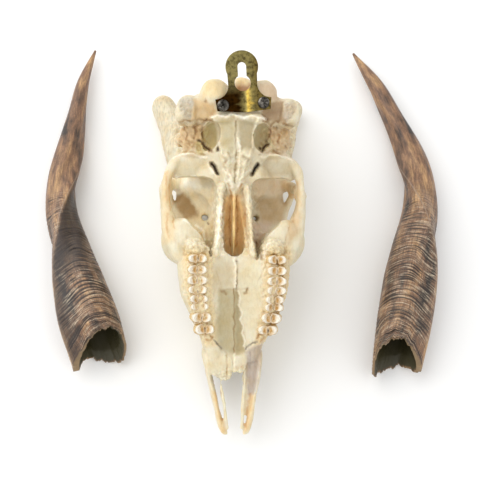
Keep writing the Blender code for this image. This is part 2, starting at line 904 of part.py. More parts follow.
def hanger_plate(collection):
    half = plate_outline()
    outline = half + [(-x, y) for x, y in half[-2:0:-1]]
    plate = flat_outline("hanger_plate", collection, [outline, keyhole_outline()], PLATE_THICKNESS)
    bm = bmesh.new()
    bm.from_mesh(plate.data)
    fold = Vector((PLATE_FOLD_X, 0, 0)) * MM
    parts = bm.verts[:] + bm.edges[:] + bm.faces[:]
    bmesh.ops.bisect_plane(bm, geom=parts, plane_co=fold, plane_no=(1, 0, 0), dist=1e-7)
    bmesh.ops.triangulate(bm, faces=bm.faces)
    for vert in bm.verts:
        vert.co.z -= fold_drop(vert.co.x / MM, vert.co.y / MM) * MM
    bm.to_mesh(plate.data)
    bm.free()
    plate.data.transform(plate_place())
    return plate


def screw_place(x, y):
    """A point on the plate's upper face, square to the face on its side of the fold."""
    tilt = PLATE_FOLD if x > PLATE_FOLD_X else 0
    at = Vector((x, y, PLATE_THICKNESS / 2 - fold_drop(x, y))) * MM
    return plate_place() @ Matrix.Translation(at) @ Matrix.Rotation(tilt, 4, "Y")


def screw(name, collection, place):
    """A pan-head screw: a domed head with a cross recess over a plain shank."""
    bm = bmesh.new()
    profile = [(0, SCREW_HEAD_HEIGHT), (2.2, SCREW_HEAD_HEIGHT - 0.2), (3.4, 1.6)]
    profile += [(SCREW_HEAD_RADIUS, 0.5), (SCREW_HEAD_RADIUS, GAP), (SCREW_SHANK_RADIUS, GAP)]
    profile += [(SCREW_SHANK_RADIUS, -SCREW_DEPTH), (0, -SCREW_DEPTH)]
    verts = [bm.verts.new((r, 0, z)) for r, z in profile]
    edges = [bm.edges.new(pair) for pair in zip(verts, verts[1:])]
    bmesh.ops.spin(
        bm, geom=verts + edges, cent=(0, 0, 0), axis=(0, 0, 1), angle=2 * pi, steps=16
    )
    bmesh.ops.remove_doubles(bm, verts=bm.verts, dist=0.001)
    made = object_from(bm, name, collection)
    recess = new_collection(name + "_recess", is_helper=True)
    for low, high in (((-2.2, -0.45), (2.2, 0.45)), ((-0.45, -2.2), (0.45, 2.2))):
        block("recess_arm", recess, (*low, SCREW_HEAD_HEIGHT - 1.1), (*high, 4))
    boolean(made, "DIFFERENCE", recess)
    made.data.transform(place)
    return made


def screw_clearance(group, place):
    """The shank's hole, a little wider and deeper than the shank."""
    bm = bmesh.new()
    depth = SCREW_DEPTH + 3
    middle = Matrix.Translation((0, 0, 2 - depth / 2))
    bmesh.ops.create_cone(
        bm,
        cap_ends=True,
        segments=16,
        radius1=SCREW_SHANK_RADIUS + GAP + 0.1,
        radius2=SCREW_SHANK_RADIUS + GAP + 0.1,
        depth=depth,
        matrix=middle,
    )
    object_from(bm, "screw_clearance", group).data.transform(place)


def hanger(collection, occiput):
    """The keyhole plate on the condyles, its two screws and their seats in the bone."""
    plate = hanger_plate(collection)
    seat = new_collection("plate_seat", is_helper=True)
    bed = bpy.data.objects.new("plate_bed", plate.data.copy())
    seat.objects.link(bed)
    swell = bed.modifiers.new("Swell", "DISPLACE")
    swell.strength = GAP * MM
    swell.mid_level = 0
    apply_modifiers(bed)
    boolean(occiput, "DIFFERENCE", seat)
    screws = {}
    for name, (x, y) in SCREW_SPOTS.items():
        place = screw_place(x, y)
        screws[name] = screw(name, collection, place)
        for other in (plate, occiput):
            hole = new_collection("screw_hole", is_helper=True)
            screw_clearance(hole, place)
            boolean(other, "DIFFERENCE", hole)
    keep_largest(occiput)
    return {"hanger_plate": plate, **screws}


def along(knots, t):
    """A smooth value at t from 0 to 1 along evenly spaced knots, by Catmull-Rom."""
    knots = np.asarray(knots, float)
    place = t * (len(knots) - 1)
    i = min(int(place), len(knots) - 2)
    f = place - i
    before, near = knots[max(i - 1, 0)], knots[i]
    far, after = knots[i + 1], knots[min(i + 2, len(knots) - 1)]
    bend = 2 * before - 5 * near + 4 * far - after
    return near + 0.5 * f * (far - before + f * (bend + f * (3 * (near - far) + after - before)))


def mouth_shift(side, angle, level):
    """How far the broken mouth is cut back or drawn out, in mm, fading into the horn."""
    turns = np.radians(range(0, 360, 30))
    fade = max(1 - level / MOUTH_BLEND, 0) ** 1.3
    return np.interp(angle, turns, MOUTH_EDGE[side_name(side)], period=2 * pi) * fade


def sheath_ring(side, t, inset=0.0):
    """A keeled cross-section of the sheath at t, 0 at the mouth and 1 at the tip.

    The keel points outward at the mouth, passes over the top near the middle
    and goes round the inner side and under before the tip.
    """
    path = RIGHT_HORN if side > 0 else LEFT_HORN
    x, y, width = along(path, t)
    ahead, behind = along(path, min(t + 0.02, 1)), along(path, max(t - 0.02, 0))
    heading = Vector((ahead[0] - behind[0], ahead[1] - behind[1], 0)).normalized()
    outward = Vector((heading.y, -heading.x, 0)) * side
    up = Vector((0, 0, 1))
    radius = width / 2
    keel = along(KEEL_TURN, t)
    toward_keel = outward * cos(keel) + up * sin(keel)
    centre = Vector((x, y, radius + HORN_LIFT * sin(pi * t) ** 2 + TIP_LIFT * t**3))
    centre -= toward_keel * radius * (1 - SHEATH_BODY)
    crest_share = 0.4 if inset else 1
    ring = []
    for i in range(SHEATH_SIDES):
        angle = keel + 2 * pi * i / SHEATH_SIDES
        off = 2 * pi * min(i, SHEATH_SIDES - i) / SHEATH_SIDES
        crest = KEEL_HEIGHT * np.exp(-((off / KEEL_SPREAD) ** 2)) * crest_share
        reach = max(radius * (SHEATH_BODY + crest) - inset, 0.5)
        point = centre + (outward * cos(angle) + up * sin(angle)) * reach
        point.y += mouth_shift(side, angle, t * HORN_LENGTH)
        ring.append(point)
    return ring


def horn_sheath(collection, side):
    """A hollow, spirally keeled horn sheath that lies on the floor, its mouth broken away."""
    rings = [sheath_ring(side, 1 - k / SHEATH_RINGS) for k in range(SHEATH_RINGS + 1)]
    for k in range(CAVITY_RINGS + 1):
        f = k / CAVITY_RINGS
        inset = SHEATH_WALL + 5 * f**2
        rings.append(sheath_ring(side, f * CAVITY_DEPTH / HORN_LENGTH, inset))
    return loft(f"horn_sheath_{side_name(side)}", collection, rings, levels=0)


def lowest(objects):
    bpy.context.view_layer.update()
    return min((obj.matrix_world @ vert.co).z for obj in objects for vert in obj.data.vertices)


def settle(skull_parts, sheaths):
    """Tips the skull to its resting pitch, lowers all to the floor and centres the whole."""
    layout = bpy.data.objects.new("layout", None)
    pose = bpy.data.objects.new("skull_pose", None)
    for empty in (layout, pose):
        bpy.context.scene.collection.objects.link(empty)
    pose.parent = layout
    pose.rotation_euler = (SKULL_PITCH, 0, 0)
    turn = Matrix.Rotation(SKULL_YAW, 4, "Z")
    shift = Matrix.Translation(Vector((SKULL_SHIFT, -NOSE_REST.y, -NOSE_REST.z)) * MM)
    for obj in skull_parts:
        obj.data.transform(shift @ turn)
        obj.parent = pose
    for obj in sheaths:
        obj.data.transform(Matrix.Translation((0, 0, -lowest([obj]))))
        obj.parent = layout
    pose.location.z = -lowest(skull_parts)
    bpy.context.view_layer.update()
    corners = [
        obj.matrix_world @ Vector(corner)
        for obj in (*skull_parts, *sheaths)
        for corner in obj.bound_box
    ]
    for axis in (0, 1):
        values = [corner[axis] for corner in corners]
        layout.location[axis] = -(min(values) + max(values)) / 2


def main():
    clear_scene()
    parts = new_collection("bushbuck_skull")
    bones = part_the_bones(whole_skull(parts))
    cheek_teeth(bones["upper_jaw"])
    fittings = hanger(parts, bones["occiput"])
    sheaths = {f"horn_sheath_{side_name(side)}": horn_sheath(parts, side) for side in (1, -1)}
    finishes = {
        "bone": material("bone", (0.83, 0.74, 0.56), 0.6),
        "core_bone": material("core_bone", (0.78, 0.66, 0.46), 0.7),
        "horn": material("horn", (0.10, 0.065, 0.045), 0.55),
        "brass": material("brass", (0.30, 0.22, 0.09), 0.4, 1.0),
        "steel": material("steel", (0.10, 0.10, 0.10), 0.45, 1.0),
    }
    for name, obj in {**bones, **fittings, **sheaths}.items():
        kind = "bone"
        if name.startswith("horn_core"):
            kind = "core_bone"
        elif name.startswith("horn_sheath"):
            kind = "horn"
        elif name.startswith("hanger"):
            kind = "brass"
        elif name.startswith("screw"):
            kind = "steel"
        obj.data.materials.clear()
        obj.data.materials.append(finishes[kind])
    settle([*bones.values(), *fittings.values()], list(sheaths.values()))


main()
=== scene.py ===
from math import cos, pi, radians, sin

import bpy
import numpy as np
from mathutils import Matrix, Vector


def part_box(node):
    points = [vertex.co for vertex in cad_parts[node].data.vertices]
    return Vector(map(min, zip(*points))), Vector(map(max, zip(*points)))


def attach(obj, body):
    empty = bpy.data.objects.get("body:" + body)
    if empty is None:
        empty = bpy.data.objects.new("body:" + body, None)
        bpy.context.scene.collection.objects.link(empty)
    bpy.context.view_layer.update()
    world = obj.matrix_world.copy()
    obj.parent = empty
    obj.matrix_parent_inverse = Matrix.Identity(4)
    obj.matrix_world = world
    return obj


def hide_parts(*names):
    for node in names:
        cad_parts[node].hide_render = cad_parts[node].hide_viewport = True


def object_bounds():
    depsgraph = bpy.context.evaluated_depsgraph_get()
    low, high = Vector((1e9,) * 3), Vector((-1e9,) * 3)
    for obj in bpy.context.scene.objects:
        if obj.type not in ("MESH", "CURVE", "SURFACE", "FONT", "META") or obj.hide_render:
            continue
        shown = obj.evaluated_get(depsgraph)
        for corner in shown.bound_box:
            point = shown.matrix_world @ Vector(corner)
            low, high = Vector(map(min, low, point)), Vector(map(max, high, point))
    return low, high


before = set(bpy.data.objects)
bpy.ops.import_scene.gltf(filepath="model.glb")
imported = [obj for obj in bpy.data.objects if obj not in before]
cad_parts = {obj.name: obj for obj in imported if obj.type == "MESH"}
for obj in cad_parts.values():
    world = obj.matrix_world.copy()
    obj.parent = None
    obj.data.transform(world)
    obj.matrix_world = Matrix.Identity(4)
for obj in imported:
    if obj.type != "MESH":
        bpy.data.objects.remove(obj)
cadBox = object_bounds()
bpy.ops.object.select_all(action="DESELECT")

mm = 0.001

# The skull is modelled in its own frame, in mm: X across, +Y to the back of the head, +Z out of
# the palate. Then it is tipped and laid where the CAD skull lies.
pose = {
    "pitch": 23.7,  # degrees it is tipped, to rest on its horn cores and nasal bones
    "yaw": -1.0,  # degrees it lies turned on the floor
    "shift": -1.2,  # mm to the right of the camera's middle line
    "pivot": (0, 72, 43),  # brings the front of the nasal bones to the turning point
}
photoView = {
    "scale": 0.66,  # mm per pixel of the photograph in the plane of the palate
    "distance": 650,  # mm from the lens to that plane
    "lean": 4.2,  # degrees the camera leans to the skull's left
    "middle": (240, 240),  # pixel of the optical axis
    "pixels": 480,  # width and height of the photograph
    "sensor": 36,  # mm
    "aim": (2.0, 13.2, 0),  # the skull point that it looks at
}


# Small helpers for meshes

def use(piece):
    bpy.ops.object.select_all(action="DESELECT")
    piece.select_set(True)
    bpy.context.view_layer.objects.active = piece


def getPoints(piece):
    points = np.empty(len(piece.data.vertices) * 3)
    piece.data.vertices.foreach_get("co", points)
    return points.reshape(-1, 3)


def setPoints(piece, points):
    piece.data.vertices.foreach_set("co", np.asarray(points, float).ravel())
    piece.data.update()


def getNormals(piece):
    normals = np.empty(len(piece.data.vertices) * 3, np.float32)
    piece.data.vertex_normals.foreach_get("vector", normals)
    return normals.reshape(-1, 3)


def modify(piece, kind, **settings):
    use(piece)
    bpy.ops.object.modifier_add(type=kind)
    modifier = piece.modifiers[-1]
    for key, value in settings.items():
        setattr(modifier, key, value)
    bpy.ops.object.modifier_apply(modifier=modifier.name)


def joinPieces(pieces, name):
    bpy.ops.object.select_all(action="DESELECT")
    for piece in pieces:
        piece.select_set(True)
    bpy.context.view_layer.objects.active = pieces[0]
    bpy.ops.object.join()
    pieces[0].name = name
    return pieces[0]


def cut(piece, operation, others):
    # one Boolean with every piece in the list, which are then removed
    group = bpy.data.collections.new("cutters")
    bpy.context.scene.collection.children.link(group)
    for other in others:
        group.objects.link(other)
    settings = {"operation": operation, "solver": "MANIFOLD", "operand_type": "COLLECTION"}
    modify(piece, "BOOLEAN", collection=group, **settings)
    for other in others:
        bpy.data.objects.remove(other)
    bpy.data.collections.remove(group)


def bevelEdges(piece, width, segments):
    # rounds the sharp edges, width in mm
    modify(
        piece, "BEVEL", width=width * mm, segments=segments, limit_method="ANGLE", angle_limit=radians(50),
    )


def storeValues(piece, name, values):
    # one number or one vector for each point
    values = np.asarray(values, np.float32)
    kind, field = ("FLOAT_VECTOR", "vector") if values.ndim == 2 else ("FLOAT", "value")
    piece.data.attributes.new(name, kind, "POINT").data.foreach_set(field, values.ravel())


def addTint(piece, values):
    # the painted colour of each point
    layer = piece.data.color_attributes.new("tint", "FLOAT_COLOR", "POINT")
    colours = np.ones((len(values), 4))
    colours[:, :3] = values
    layer.data.foreach_set("color", colours.ravel())


def layOver(colour, share, code, where=slice(None), shade=1.0):
    # blends a hex colour over the painted ones, by each point's share
    over = np.array(hexColour(code)) * shade
    colour[where] += share[:, None] * (over - colour[where])


def smoothShade(piece, angle):
    use(piece)
    bpy.ops.object.shade_smooth_by_angle(angle=radians(angle))


def triangles(piece):
    return sum(len(face.vertices) - 2 for face in piece.data.polygons)


def softNoise(points, size, seed, waves=14, stretch=2.2, spread=(0.7, 1.4), height=0.8):
    # a smooth random field of about -1 to 1, whose lumps are about `size` across
    draw = np.random.default_rng(seed)
    total = np.zeros(len(points))
    for _ in range(waves):
        way = draw.normal(size=3)
        way *= 2 * pi / (stretch * size * draw.uniform(*spread)) / np.linalg.norm(way)
        total += np.sin(points @ way + draw.uniform(0, 2 * pi))
    return total / waves**0.5 * height


# Ways to make a form, in the skull's millimetres

def addBall(name, centre, radii, turn=(0, 0, 0), segments=32):
    bpy.ops.mesh.primitive_uv_sphere_add(segments=segments, ring_count=segments // 2, radius=1)
    ball = bpy.context.object
    ball.name = name
    place = Matrix.Translation(Vector(centre) * mm)
    for angle, axis in zip(turn, "XYZ"):
        place = place @ Matrix.Rotation(radians(angle), 4, axis)
    ball.data.transform(place @ Matrix.Diagonal((*(Vector(radii) * mm), 1)))
    return ball


def addBox(name, low, high):
    low, high = Vector(low) * mm, Vector(high) * mm
    bpy.ops.mesh.primitive_cube_add(size=1, location=(low + high) / 2, scale=high - low)
    box = bpy.context.object
    box.name = name
    bpy.ops.object.transform_apply()
    return box


def addRod(name, points, ring=False, resolution=6):
    # a round bar through (x, y, z, radius) points
    bpy.ops.curve.primitive_bezier_curve_add()
    rod = bpy.context.object
    rod.name = name
    rod.data.bevel_depth = mm
    rod.data.bevel_resolution = 3
    rod.data.resolution_u = resolution
    rod.data.use_fill_caps = not ring
    spline = rod.data.splines[0]
    spline.bezier_points.add(len(points) - 2)
    spline.use_cyclic_u = ring
    for knot, point in zip(spline.bezier_points, points):
        knot.co = Vector(point[:3]) * mm
        knot.radius = point[3]
        knot.handle_left_type = "AUTO"
        knot.handle_right_type = "AUTO"
    bpy.ops.object.convert(target="MESH")
    mendMesh(rod)
    return rod


def mendMesh(piece):
    # seams merged, ends closed, faces outward
    use(piece)
    bpy.ops.object.mode_set(mode="EDIT")
    bpy.ops.mesh.select_all(action="SELECT")
    bpy.ops.mesh.remove_doubles(threshold=0.01 * mm)
    bpy.ops.mesh.select_all(action="DESELECT")
    bpy.ops.mesh.select_non_manifold()
    bpy.ops.mesh.fill_holes(sides=0)
    bpy.ops.mesh.select_all(action="SELECT")
    bpy.ops.mesh.normals_make_consistent(inside=False)
    bpy.ops.object.mode_set(mode="OBJECT")


def rollGrid(name, columns, rows, shape, values=None):
    # a grid rolled into a tube: shape turns (around, along), each 0 to 1, into points in metres
    # and may fill in values, which the points then carry as attributes
    bpy.ops.mesh.primitive_grid_add(x_subdivisions=columns, y_subdivisions=rows, size=1)
    tube = bpy.context.object
    tube.name = name
    flat = getPoints(tube)
    setPoints(tube, shape(flat[:, 0] + 0.5, flat[:, 1] + 0.5))
    for key, value in (values or {}).items():
        storeValues(tube, key, value)
    mendMesh(tube)
    return tube


def addLoft(name, rings, levels=2):
    # a closed skin over rings that all have the same count of points
    rings = np.array(rings, float)
    rows, columns = rings.shape[0] - 1, rings.shape[1]

    def shape(around, along):
        row, column = np.rint(along * rows).astype(int), np.rint(around * columns).astype(int)
        return rings[row, column % columns] * mm

    loft = rollGrid(name, columns, rows, shape)
    modify(loft, "SUBSURF", levels=levels, render_levels=levels)
    return loft


def oval(x, y, z, halfWidth, halfHeight, squareness, count=12):
    ring = []
    for i in range(count):
        angle = 2 * pi * i / count
        across, up = (
            half * abs(share) ** (2 / squareness) * (1 if share > 0 else -1)
            for half, share in ((halfWidth, cos(angle)), (halfHeight, sin(angle)))
        )
        ring.append((x + across, y, z + up))
    return ring


def addBar(name, stations, squareness=2.6):
    # a tapering bar along Y; a station is (x, y, z, half width, half height)
    return addLoft(name, [oval(*station, squareness) for station in stations])


# Materials

def hexColour(code):
    # sRGB hex to linear
    parts = [int(code[i : i + 2], 16) / 255 for i in (1, 3, 5)]
    return [v / 12.92 if v <= 0.04045 else ((v + 0.055) / 1.055) ** 2.4 for v in parts]


def rgba(code):
    return (*hexColour(code), 1)


def setInputs(tree, node, inputs):
    # inputs are values or (node, output) links, by socket name or number
    for key, value in inputs.items():
        if isinstance(value, tuple) and hasattr(value[0], "outputs"):
            tree.links.new(value[0].outputs[value[1]], node.inputs[key])
        else:
            node.inputs[key].default_value = value


def addNode(tree, kind, inputs=None, stops=(), **settings):
    # stops are the colours or greys of a ramp, along 0 to 1. A colour Mix has its factor at
    # input 0, its two colours at 6 and 7 and its result at output 2
    node = tree.nodes.new("ShaderNode" + kind)
    for key, value in settings.items():
        setattr(node, key, value)
    setInputs(tree, node, inputs or {})
    if stops:
        band = node.color_ramp.elements
        for _ in stops[2:]:
            band.new(0.5)
        for element, (place, colour) in zip(band, stops):
            element.position = place
            element.color = rgba(colour) if isinstance(colour, str) else (colour, colour, colour, 1)
    return node


def newMaterial(name, values):
    made = bpy.data.materials.new(name)
    made.use_nodes = True
    shader = made.node_tree.nodes["Principled BSDF"]
    setInputs(made.node_tree, shader, values)
    return made, made.node_tree, shader


mixed = {"data_type": "RGBA"}
multiplied = {"data_type": "RGBA", "blend_type": "MULTIPLY"}


def perMm(size):
    # noise scale whose grain is about `size` mm across
    return 1 / (size * mm)


boneFinish = {
    "mottle": 9.0,  # mm across its cloudy yellow and grey patches
    "grain": 1.1,  # mm between fibres of the outer bone
    "pore": 0.55,  # mm pores, drawn coarser than the real ones so that they show
    "roughness": 0.5,
    "coreRoughness": 0.62,
}


def boneMaterial(name, finish, yellow, roughness, streak):
    # dry bleached bone: chalky and matt, stained amber where fat stayed in it
    made, tree, shader = newMaterial(name, {
        "IOR": 1.54, "Subsurface Weight": 0.22,
        "Subsurface Scale": 1.0 * mm, "Subsurface Radius": (5.0, 3.0, 1.6),
    })
    place = (addNode(tree, "TexCoord"), "Object")
    paint = (addNode(tree, "Attribute", attribute_name="tint"), "Color")
    stretch = addNode(tree, "Mapping", {"Vector": place, "Scale": (1.0, 0.18, 1.0)})
    mottle, pores, grain = (
        (addNode(tree, "TexNoise", {
            "Vector": vector, "Scale": perMm(finish[size]), "Detail": detail, "Roughness": rough,
        }), "Fac")
        for vector, size, detail, rough in (
            (place, "mottle", 5.0, 0.6), (place, "pore", 3.0, 0.65), ((stretch, "Vector"), "grain", 4.0, 0.5),
        )
    )
    cloud = addNode(tree, "ValToRGB", {"Fac": mottle}, [(0.4, 0.0), (0.72, 0.7)])
    specks = addNode(tree, "ValToRGB", {"Fac": pores}, [(0.28, 0.72), (0.44, 1.0)])
    striae = addNode(tree, "ValToRGB", {"Fac": grain}, [(0.36, 0.62), (0.56, 1.0)])
    under = paint
    for share, over in (
        ((cloud, "Color"), rgba(yellow)), (0.55, (specks, "Color")), (streak, (striae, "Color")),
    ):
        under = (addNode(tree, "Mix", {0: share, 6: under, 7: over}, **multiplied), 2)
    height = addNode(tree, "Math", {0: grain, 1: (specks, "Color")}, operation="ADD")
    bump = addNode(tree, "Bump", {"Strength": 0.42, "Distance": 0.4 * mm, "Height": (height, 0)})
    gloss = addNode(tree, "ValToRGB", {"Fac": mottle}, [(0.3, roughness - 0.1), (0.7, roughness + 0.12)])
    setInputs(tree, shader, {"Base Color": under, "Normal": (bump, "Normal"), "Roughness": (gloss, "Color")})
    return made


def toothMaterial():
    # enamel over dentine: glossy white ridges, matt amber between them, painted by height
    made, tree, shader = newMaterial("enamelAndDentine", {"IOR": 1.62})
    place = (addNode(tree, "TexCoord"), "Object")
    paint = (addNode(tree, "Attribute", attribute_name="tint"), "Color")
    fine = (addNode(tree, "TexNoise", {"Vector": place, "Scale": perMm(1.6), "Detail": 4.0}), "Fac")
    shade = addNode(tree, "ValToRGB", {"Fac": fine}, [(0.35, 0.84), (0.65, 1.0)])
    shaded = addNode(tree, "Mix", {0: 0.8, 6: paint, 7: (shade, "Color")}, **multiplied)
    gloss = addNode(tree, "ValToRGB", {"Fac": fine}, [(0.3, 0.2), (0.7, 0.38)])
    bump = addNode(tree, "Bump", {"Strength": 0.2, "Distance": 0.2 * mm, "Height": fine})
    under = (shaded, 2)
    setInputs(tree, shader, {"Base Color": under, "Normal": (bump, "Normal"), "Roughness": (gloss, "Color")})
    return made


print("helpers ready")

# Where the skull lies: its own frame to the pose frame, then to the floor

poseMatrix = (
    Matrix.Rotation(radians(pose["pitch"]), 4, "X")
    @ Matrix.Translation(Vector((pose["shift"] + pose["pivot"][0], *pose["pivot"][1:])) * mm)
    @ Matrix.Rotation(radians(pose["yaw"]), 4, "Z")
)

hanger = {
    "thickness": 1.5,  # mm of sheet brass
    "halfWidth": 19.0,
    "waist": 9.8,
    "headRadius": 11.0,
    "height": 41.5,
    "foot": (5.2, 99, -11.4),  # the middle of its lower edge, on the condyles
    "lean": 4.3,  # degrees off the skull's middle line
    "fold": 6.5,  # degrees that its right wing is bent down
    "foldX": 1.8,
    "foldCuts": (-0.9, 0, 0.9),  # mm beside it, where the sheet gets edges to bend at
    "foldEnd": 27,  # mm up the plate, above which it is flat
    "foldFade": 8,
    "fadeCuts": (19.3, 27.3),
    "tilt": 2,  # degrees that it leans back
    "wingTop": 18.5,  # mm up the plate where its wings begin
    "wingDrop": 9,
    "headTurn": 115,  # degrees of the head's arc on each side
    "holeY": 19.7,
    "slotTop": 33.7,
    "hole": 5.5,  # mm radius of the keyhole's round end
    "slot": 5.8,  # mm wide
    "edge": 0.22,  # mm rounding of the stamped edges
}


def plateOutline():
    spots = []
    headY = hanger["height"] - hanger["headRadius"]
    for i in range(25):
        angle = pi / 2 - radians(hanger["headTurn"]) * i / 24
        spots.append((hanger["headRadius"] * cos(angle), headY + hanger["headRadius"] * sin(angle)))
    flare = hanger["halfWidth"] - hanger["waist"]
    for i in range(17):
        angle = radians(90) * i / 16
        up = hanger["wingTop"] - hanger["wingDrop"] * sin(angle)
        spots.append((hanger["halfWidth"] - flare * cos(angle), up))
    spots += [(hanger["halfWidth"] - 1, 1.6), (0, 0)]
    return spots + [(-x, y) for x, y in spots[-2:0:-1]]


def keyholeOutline():
    half = hanger["slot"] / 2
    start = np.arctan2((hanger["hole"] ** 2 - half**2) ** 0.5, half)
    spots = []
    for i in range(33):
        angle = start - (pi + 2 * start) * i / 32
        spots.append((hanger["hole"] * cos(angle), hanger["holeY"] + hanger["hole"] * sin(angle)))
    for i in range(15):
        angle = pi - pi * i / 14
        spots.append((half * cos(angle), hanger["slotTop"] - half + half * sin(angle)))
    return spots


def foldDrop(x, y):
    fade = np.clip((hanger["foldEnd"] - y) / hanger["foldFade"], 0, 1)
    return np.maximum(x - hanger["foldX"], 0) * np.tan(radians(hanger["fold"])) * fade


platePlace = (
    Matrix.Translation(Vector(hanger["foot"]) * mm)
    @ Matrix.Rotation(radians(hanger["lean"]), 4, "Z")
    @ Matrix.Rotation(radians(hanger["tilt"]), 4, "X")
)


def addPlate():
    bpy.ops.curve.primitive_bezier_curve_add()
    plate = bpy.context.object
    plate.name = "hangerPlate"
    flat = plate.data
    flat.splines.clear()
    flat.dimensions = "2D"
    flat.fill_mode = "BOTH"
    flat.extrude = hanger["thickness"] / 2 * mm
    for loop in (plateOutline(), keyholeOutline()):
        spline = flat.splines.new("POLY")
        spline.points.add(len(loop) - 1)
        spline.use_cyclic_u = True
        for spot, (x, y) in zip(spline.points, loop):
            spot.co = (x * mm, y * mm, 0, 1)
    bpy.ops.object.convert(target="MESH")
    mendMesh(plate)
    bevelEdges(plate, hanger["edge"], 3)
    bpy.ops.object.mode_set(mode="EDIT")
    for x, y, across in (
        *((hanger["foldX"] + x, 0, (1, 0, 0)) for x in hanger["foldCuts"]),
        *((0, y, (0, 1, 0)) for y in hanger["fadeCuts"]),
    ):
        bpy.ops.mesh.select_all(action="SELECT")
        bpy.ops.mesh.bisect(plane_co=(x * mm, y * mm, 0), plane_no=across)
    bpy.ops.mesh.select_all(action="SELECT")
    bpy.ops.mesh.quads_convert_to_tris()
    bpy.ops.object.mode_set(mode="OBJECT")
    points = getPoints(plate)
    points[:, 2] -= foldDrop(points[:, 0] / mm, points[:, 1] / mm) * mm
    setPoints(plate, points)
    return plate


plate = addPlate()
plate.data.transform(poseMatrix @ platePlace)
laid = Vector(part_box("hanger_plate")[0]) - Vector(getPoints(plate).min(0))
skullToWorld = Matrix.Translation(laid) @ poseMatrix
plate.data.transform(Matrix.Translation(laid))
print("hanger plate made, the skull lies at", [round(v / mm, 2) for v in laid])


# The camera, as the photograph was taken

lean = radians(photoView["lean"])
aim = (Vector(photoView["aim"]) + Vector(pose["pivot"])) * mm
back = Vector((-sin(lean), 0, cos(lean)))
tip = Matrix.Rotation(radians(pose["pitch"]), 4, "X")
eye = aim + back * photoView["distance"] * mm


def addCamera():
    bpy.ops.object.camera_add()
    camera = bpy.context.object
    camera.name = "photoCamera"
    turned = tip.to_3x3()
    away = turned @ back
    right = (turned @ Vector((0, 1, 0))).cross(away).normalized()
    place = Matrix((right, away.cross(right), away)).transposed().to_4x4()
    place.translation = tip @ eye + laid
    camera.matrix_world = place
    camera.data.sensor_width = photoView["sensor"]
    seenWidth = photoView["pixels"] * photoView["scale"]
    camera.data.lens = photoView["distance"] / seenWidth * photoView["sensor"]
    bpy.context.scene.camera = camera


addCamera()


def seenAt(points):
    # where each skull point (in mm) is seen in the photograph, in pixels
    turn = radians(pose["yaw"])
    x = points[:, 0] * cos(turn) - points[:, 1] * sin(turn) + pose["shift"]
    y = points[:, 0] * sin(turn) + points[:, 1] * cos(turn)
    ax, ay, _ = photoView["aim"]
    dx, dy, dz = x - ax, y - ay, points[:, 2]
    right = dx * cos(lean) + dz * sin(lean)
    depth = photoView["distance"] - (-dx * sin(lean) + dz * cos(lean))
    zoom = photoView["distance"] / photoView["scale"] / depth
    return np.stack([photoView["middle"][0] + right * zoom, photoView["middle"][1] - dy * zoom], 1)


# The skull's solid forms, the same as the CAD skull's

outlines = {
    -72: [(0, 3), (7, 2.5), (12, 1), (16, 2), (17.6, 10), (17.6, 20), (15, 29), (10, 38), (0, 42)],
    -58: [(0, 4), (7, 3.5), (13, 1), (18, 2), (19.5, 10), (19.5, 22), (17.5, 33), (11.5, 43), (0, 47)],
    -43: [(0, 5), (8, 4.4), (14.5, -1), (25, -1), (26.5, 8), (25.5, 20), (22, 34), (13.5, 47), (0, 52)],
    -26: [(0, 5.5), (9, 4), (18, -2), (31.5, -2), (36.5, 8), (34.5, 20), (27, 37), (15, 52), (0, 57)],
    -10: [(0, 5.5), (9.5, 4), (19, -2.5), (33, -2.5), (38.5, 9), (37.5, 22), (30, 41), (17, 58), (0, 63)],
    4: [(0, 6), (10, 5), (19, 0), (31, 1), (39, 12), (39.5, 26), (33, 46), (20, 64), (0, 69)],
    17: [(0, 24), (8, 25), (12, 28), (17, 34), (26, 42), (36, 52), (41, 62), (25, 75), (0, 77)],
    34: [(0, 27), (8, 28), (11, 32), (14, 40), (18, 52), (32, 62), (45, 68), (28, 81), (0, 84)],
    50: [(0, 25), (8, 26), (13, 31), (19, 41), (25, 54), (36, 63), (43, 72), (30, 86), (0, 90)],
    65: [(0, 23), (9, 24), (17, 27), (25, 34), (31, 44), (34, 56), (34, 70), (22, 84), (0, 89)],
    80: [(0, 21), (10, 22), (19, 24), (27, 31), (33, 42), (34, 55), (31, 69), (19, 80), (0, 85)],
    95: [(0, 19), (11, 20), (21, 22), (29, 29), (34, 40), (34, 52), (29, 64), (17, 73), (0, 77)],
    108: [(0, 18), (12, 19), (23, 21), (31, 27), (35, 37), (34, 48), (28, 59), (16, 66), (0, 70)],
    117: [(0, 22), (11, 22), (20, 24), (27, 29), (30, 37), (29, 46), (24, 55), (14, 61), (0, 64)],
}  # half sections from palate to crown, as (x, depth), at each y

skull = {
    "voxel": 0.62,  # mm, the finest form that the bone's mesh holds
    "softening": 3,  # smoothing rounds after the last remesh
    "lumps": (0.32, 9.0),  # mm high and across, the unevenness of natural bone
    "ripples": (0.15, 2.4),
    "coreBase": 16.5,
    "coreEnd": 9.0,
    "rearDrift": (0.033, 50),  # the slight bend of a natural skull, mm per mm past this y
    "frontDrift": (0.04, -62),  # and in front of this y
    "orbit": (37, 31, -48),
    "rimRadius": 20.0,
    "rimThickness": 2.9,
    "socketWalls": ((5, 70), (-75, -43), 90),  # their ranges of y and z, and smoothing rounds
    "mostTriangles": 190000,  # of one piece
}


def coreLine(side):
    thick = skull["coreBase"]
    return [
        (side * 22, 50, -70, thick),
        (side * 27, 61, -77, thick),
        (side * 32, 74, -87.5, thick - 1),
        (side * 38, 90, -100.5, thick - 3.4),
        (side * 44, 104, -110, thick - 5.6),
        (side * 49.5, 115, -115.5, skull["coreEnd"]),
    ]


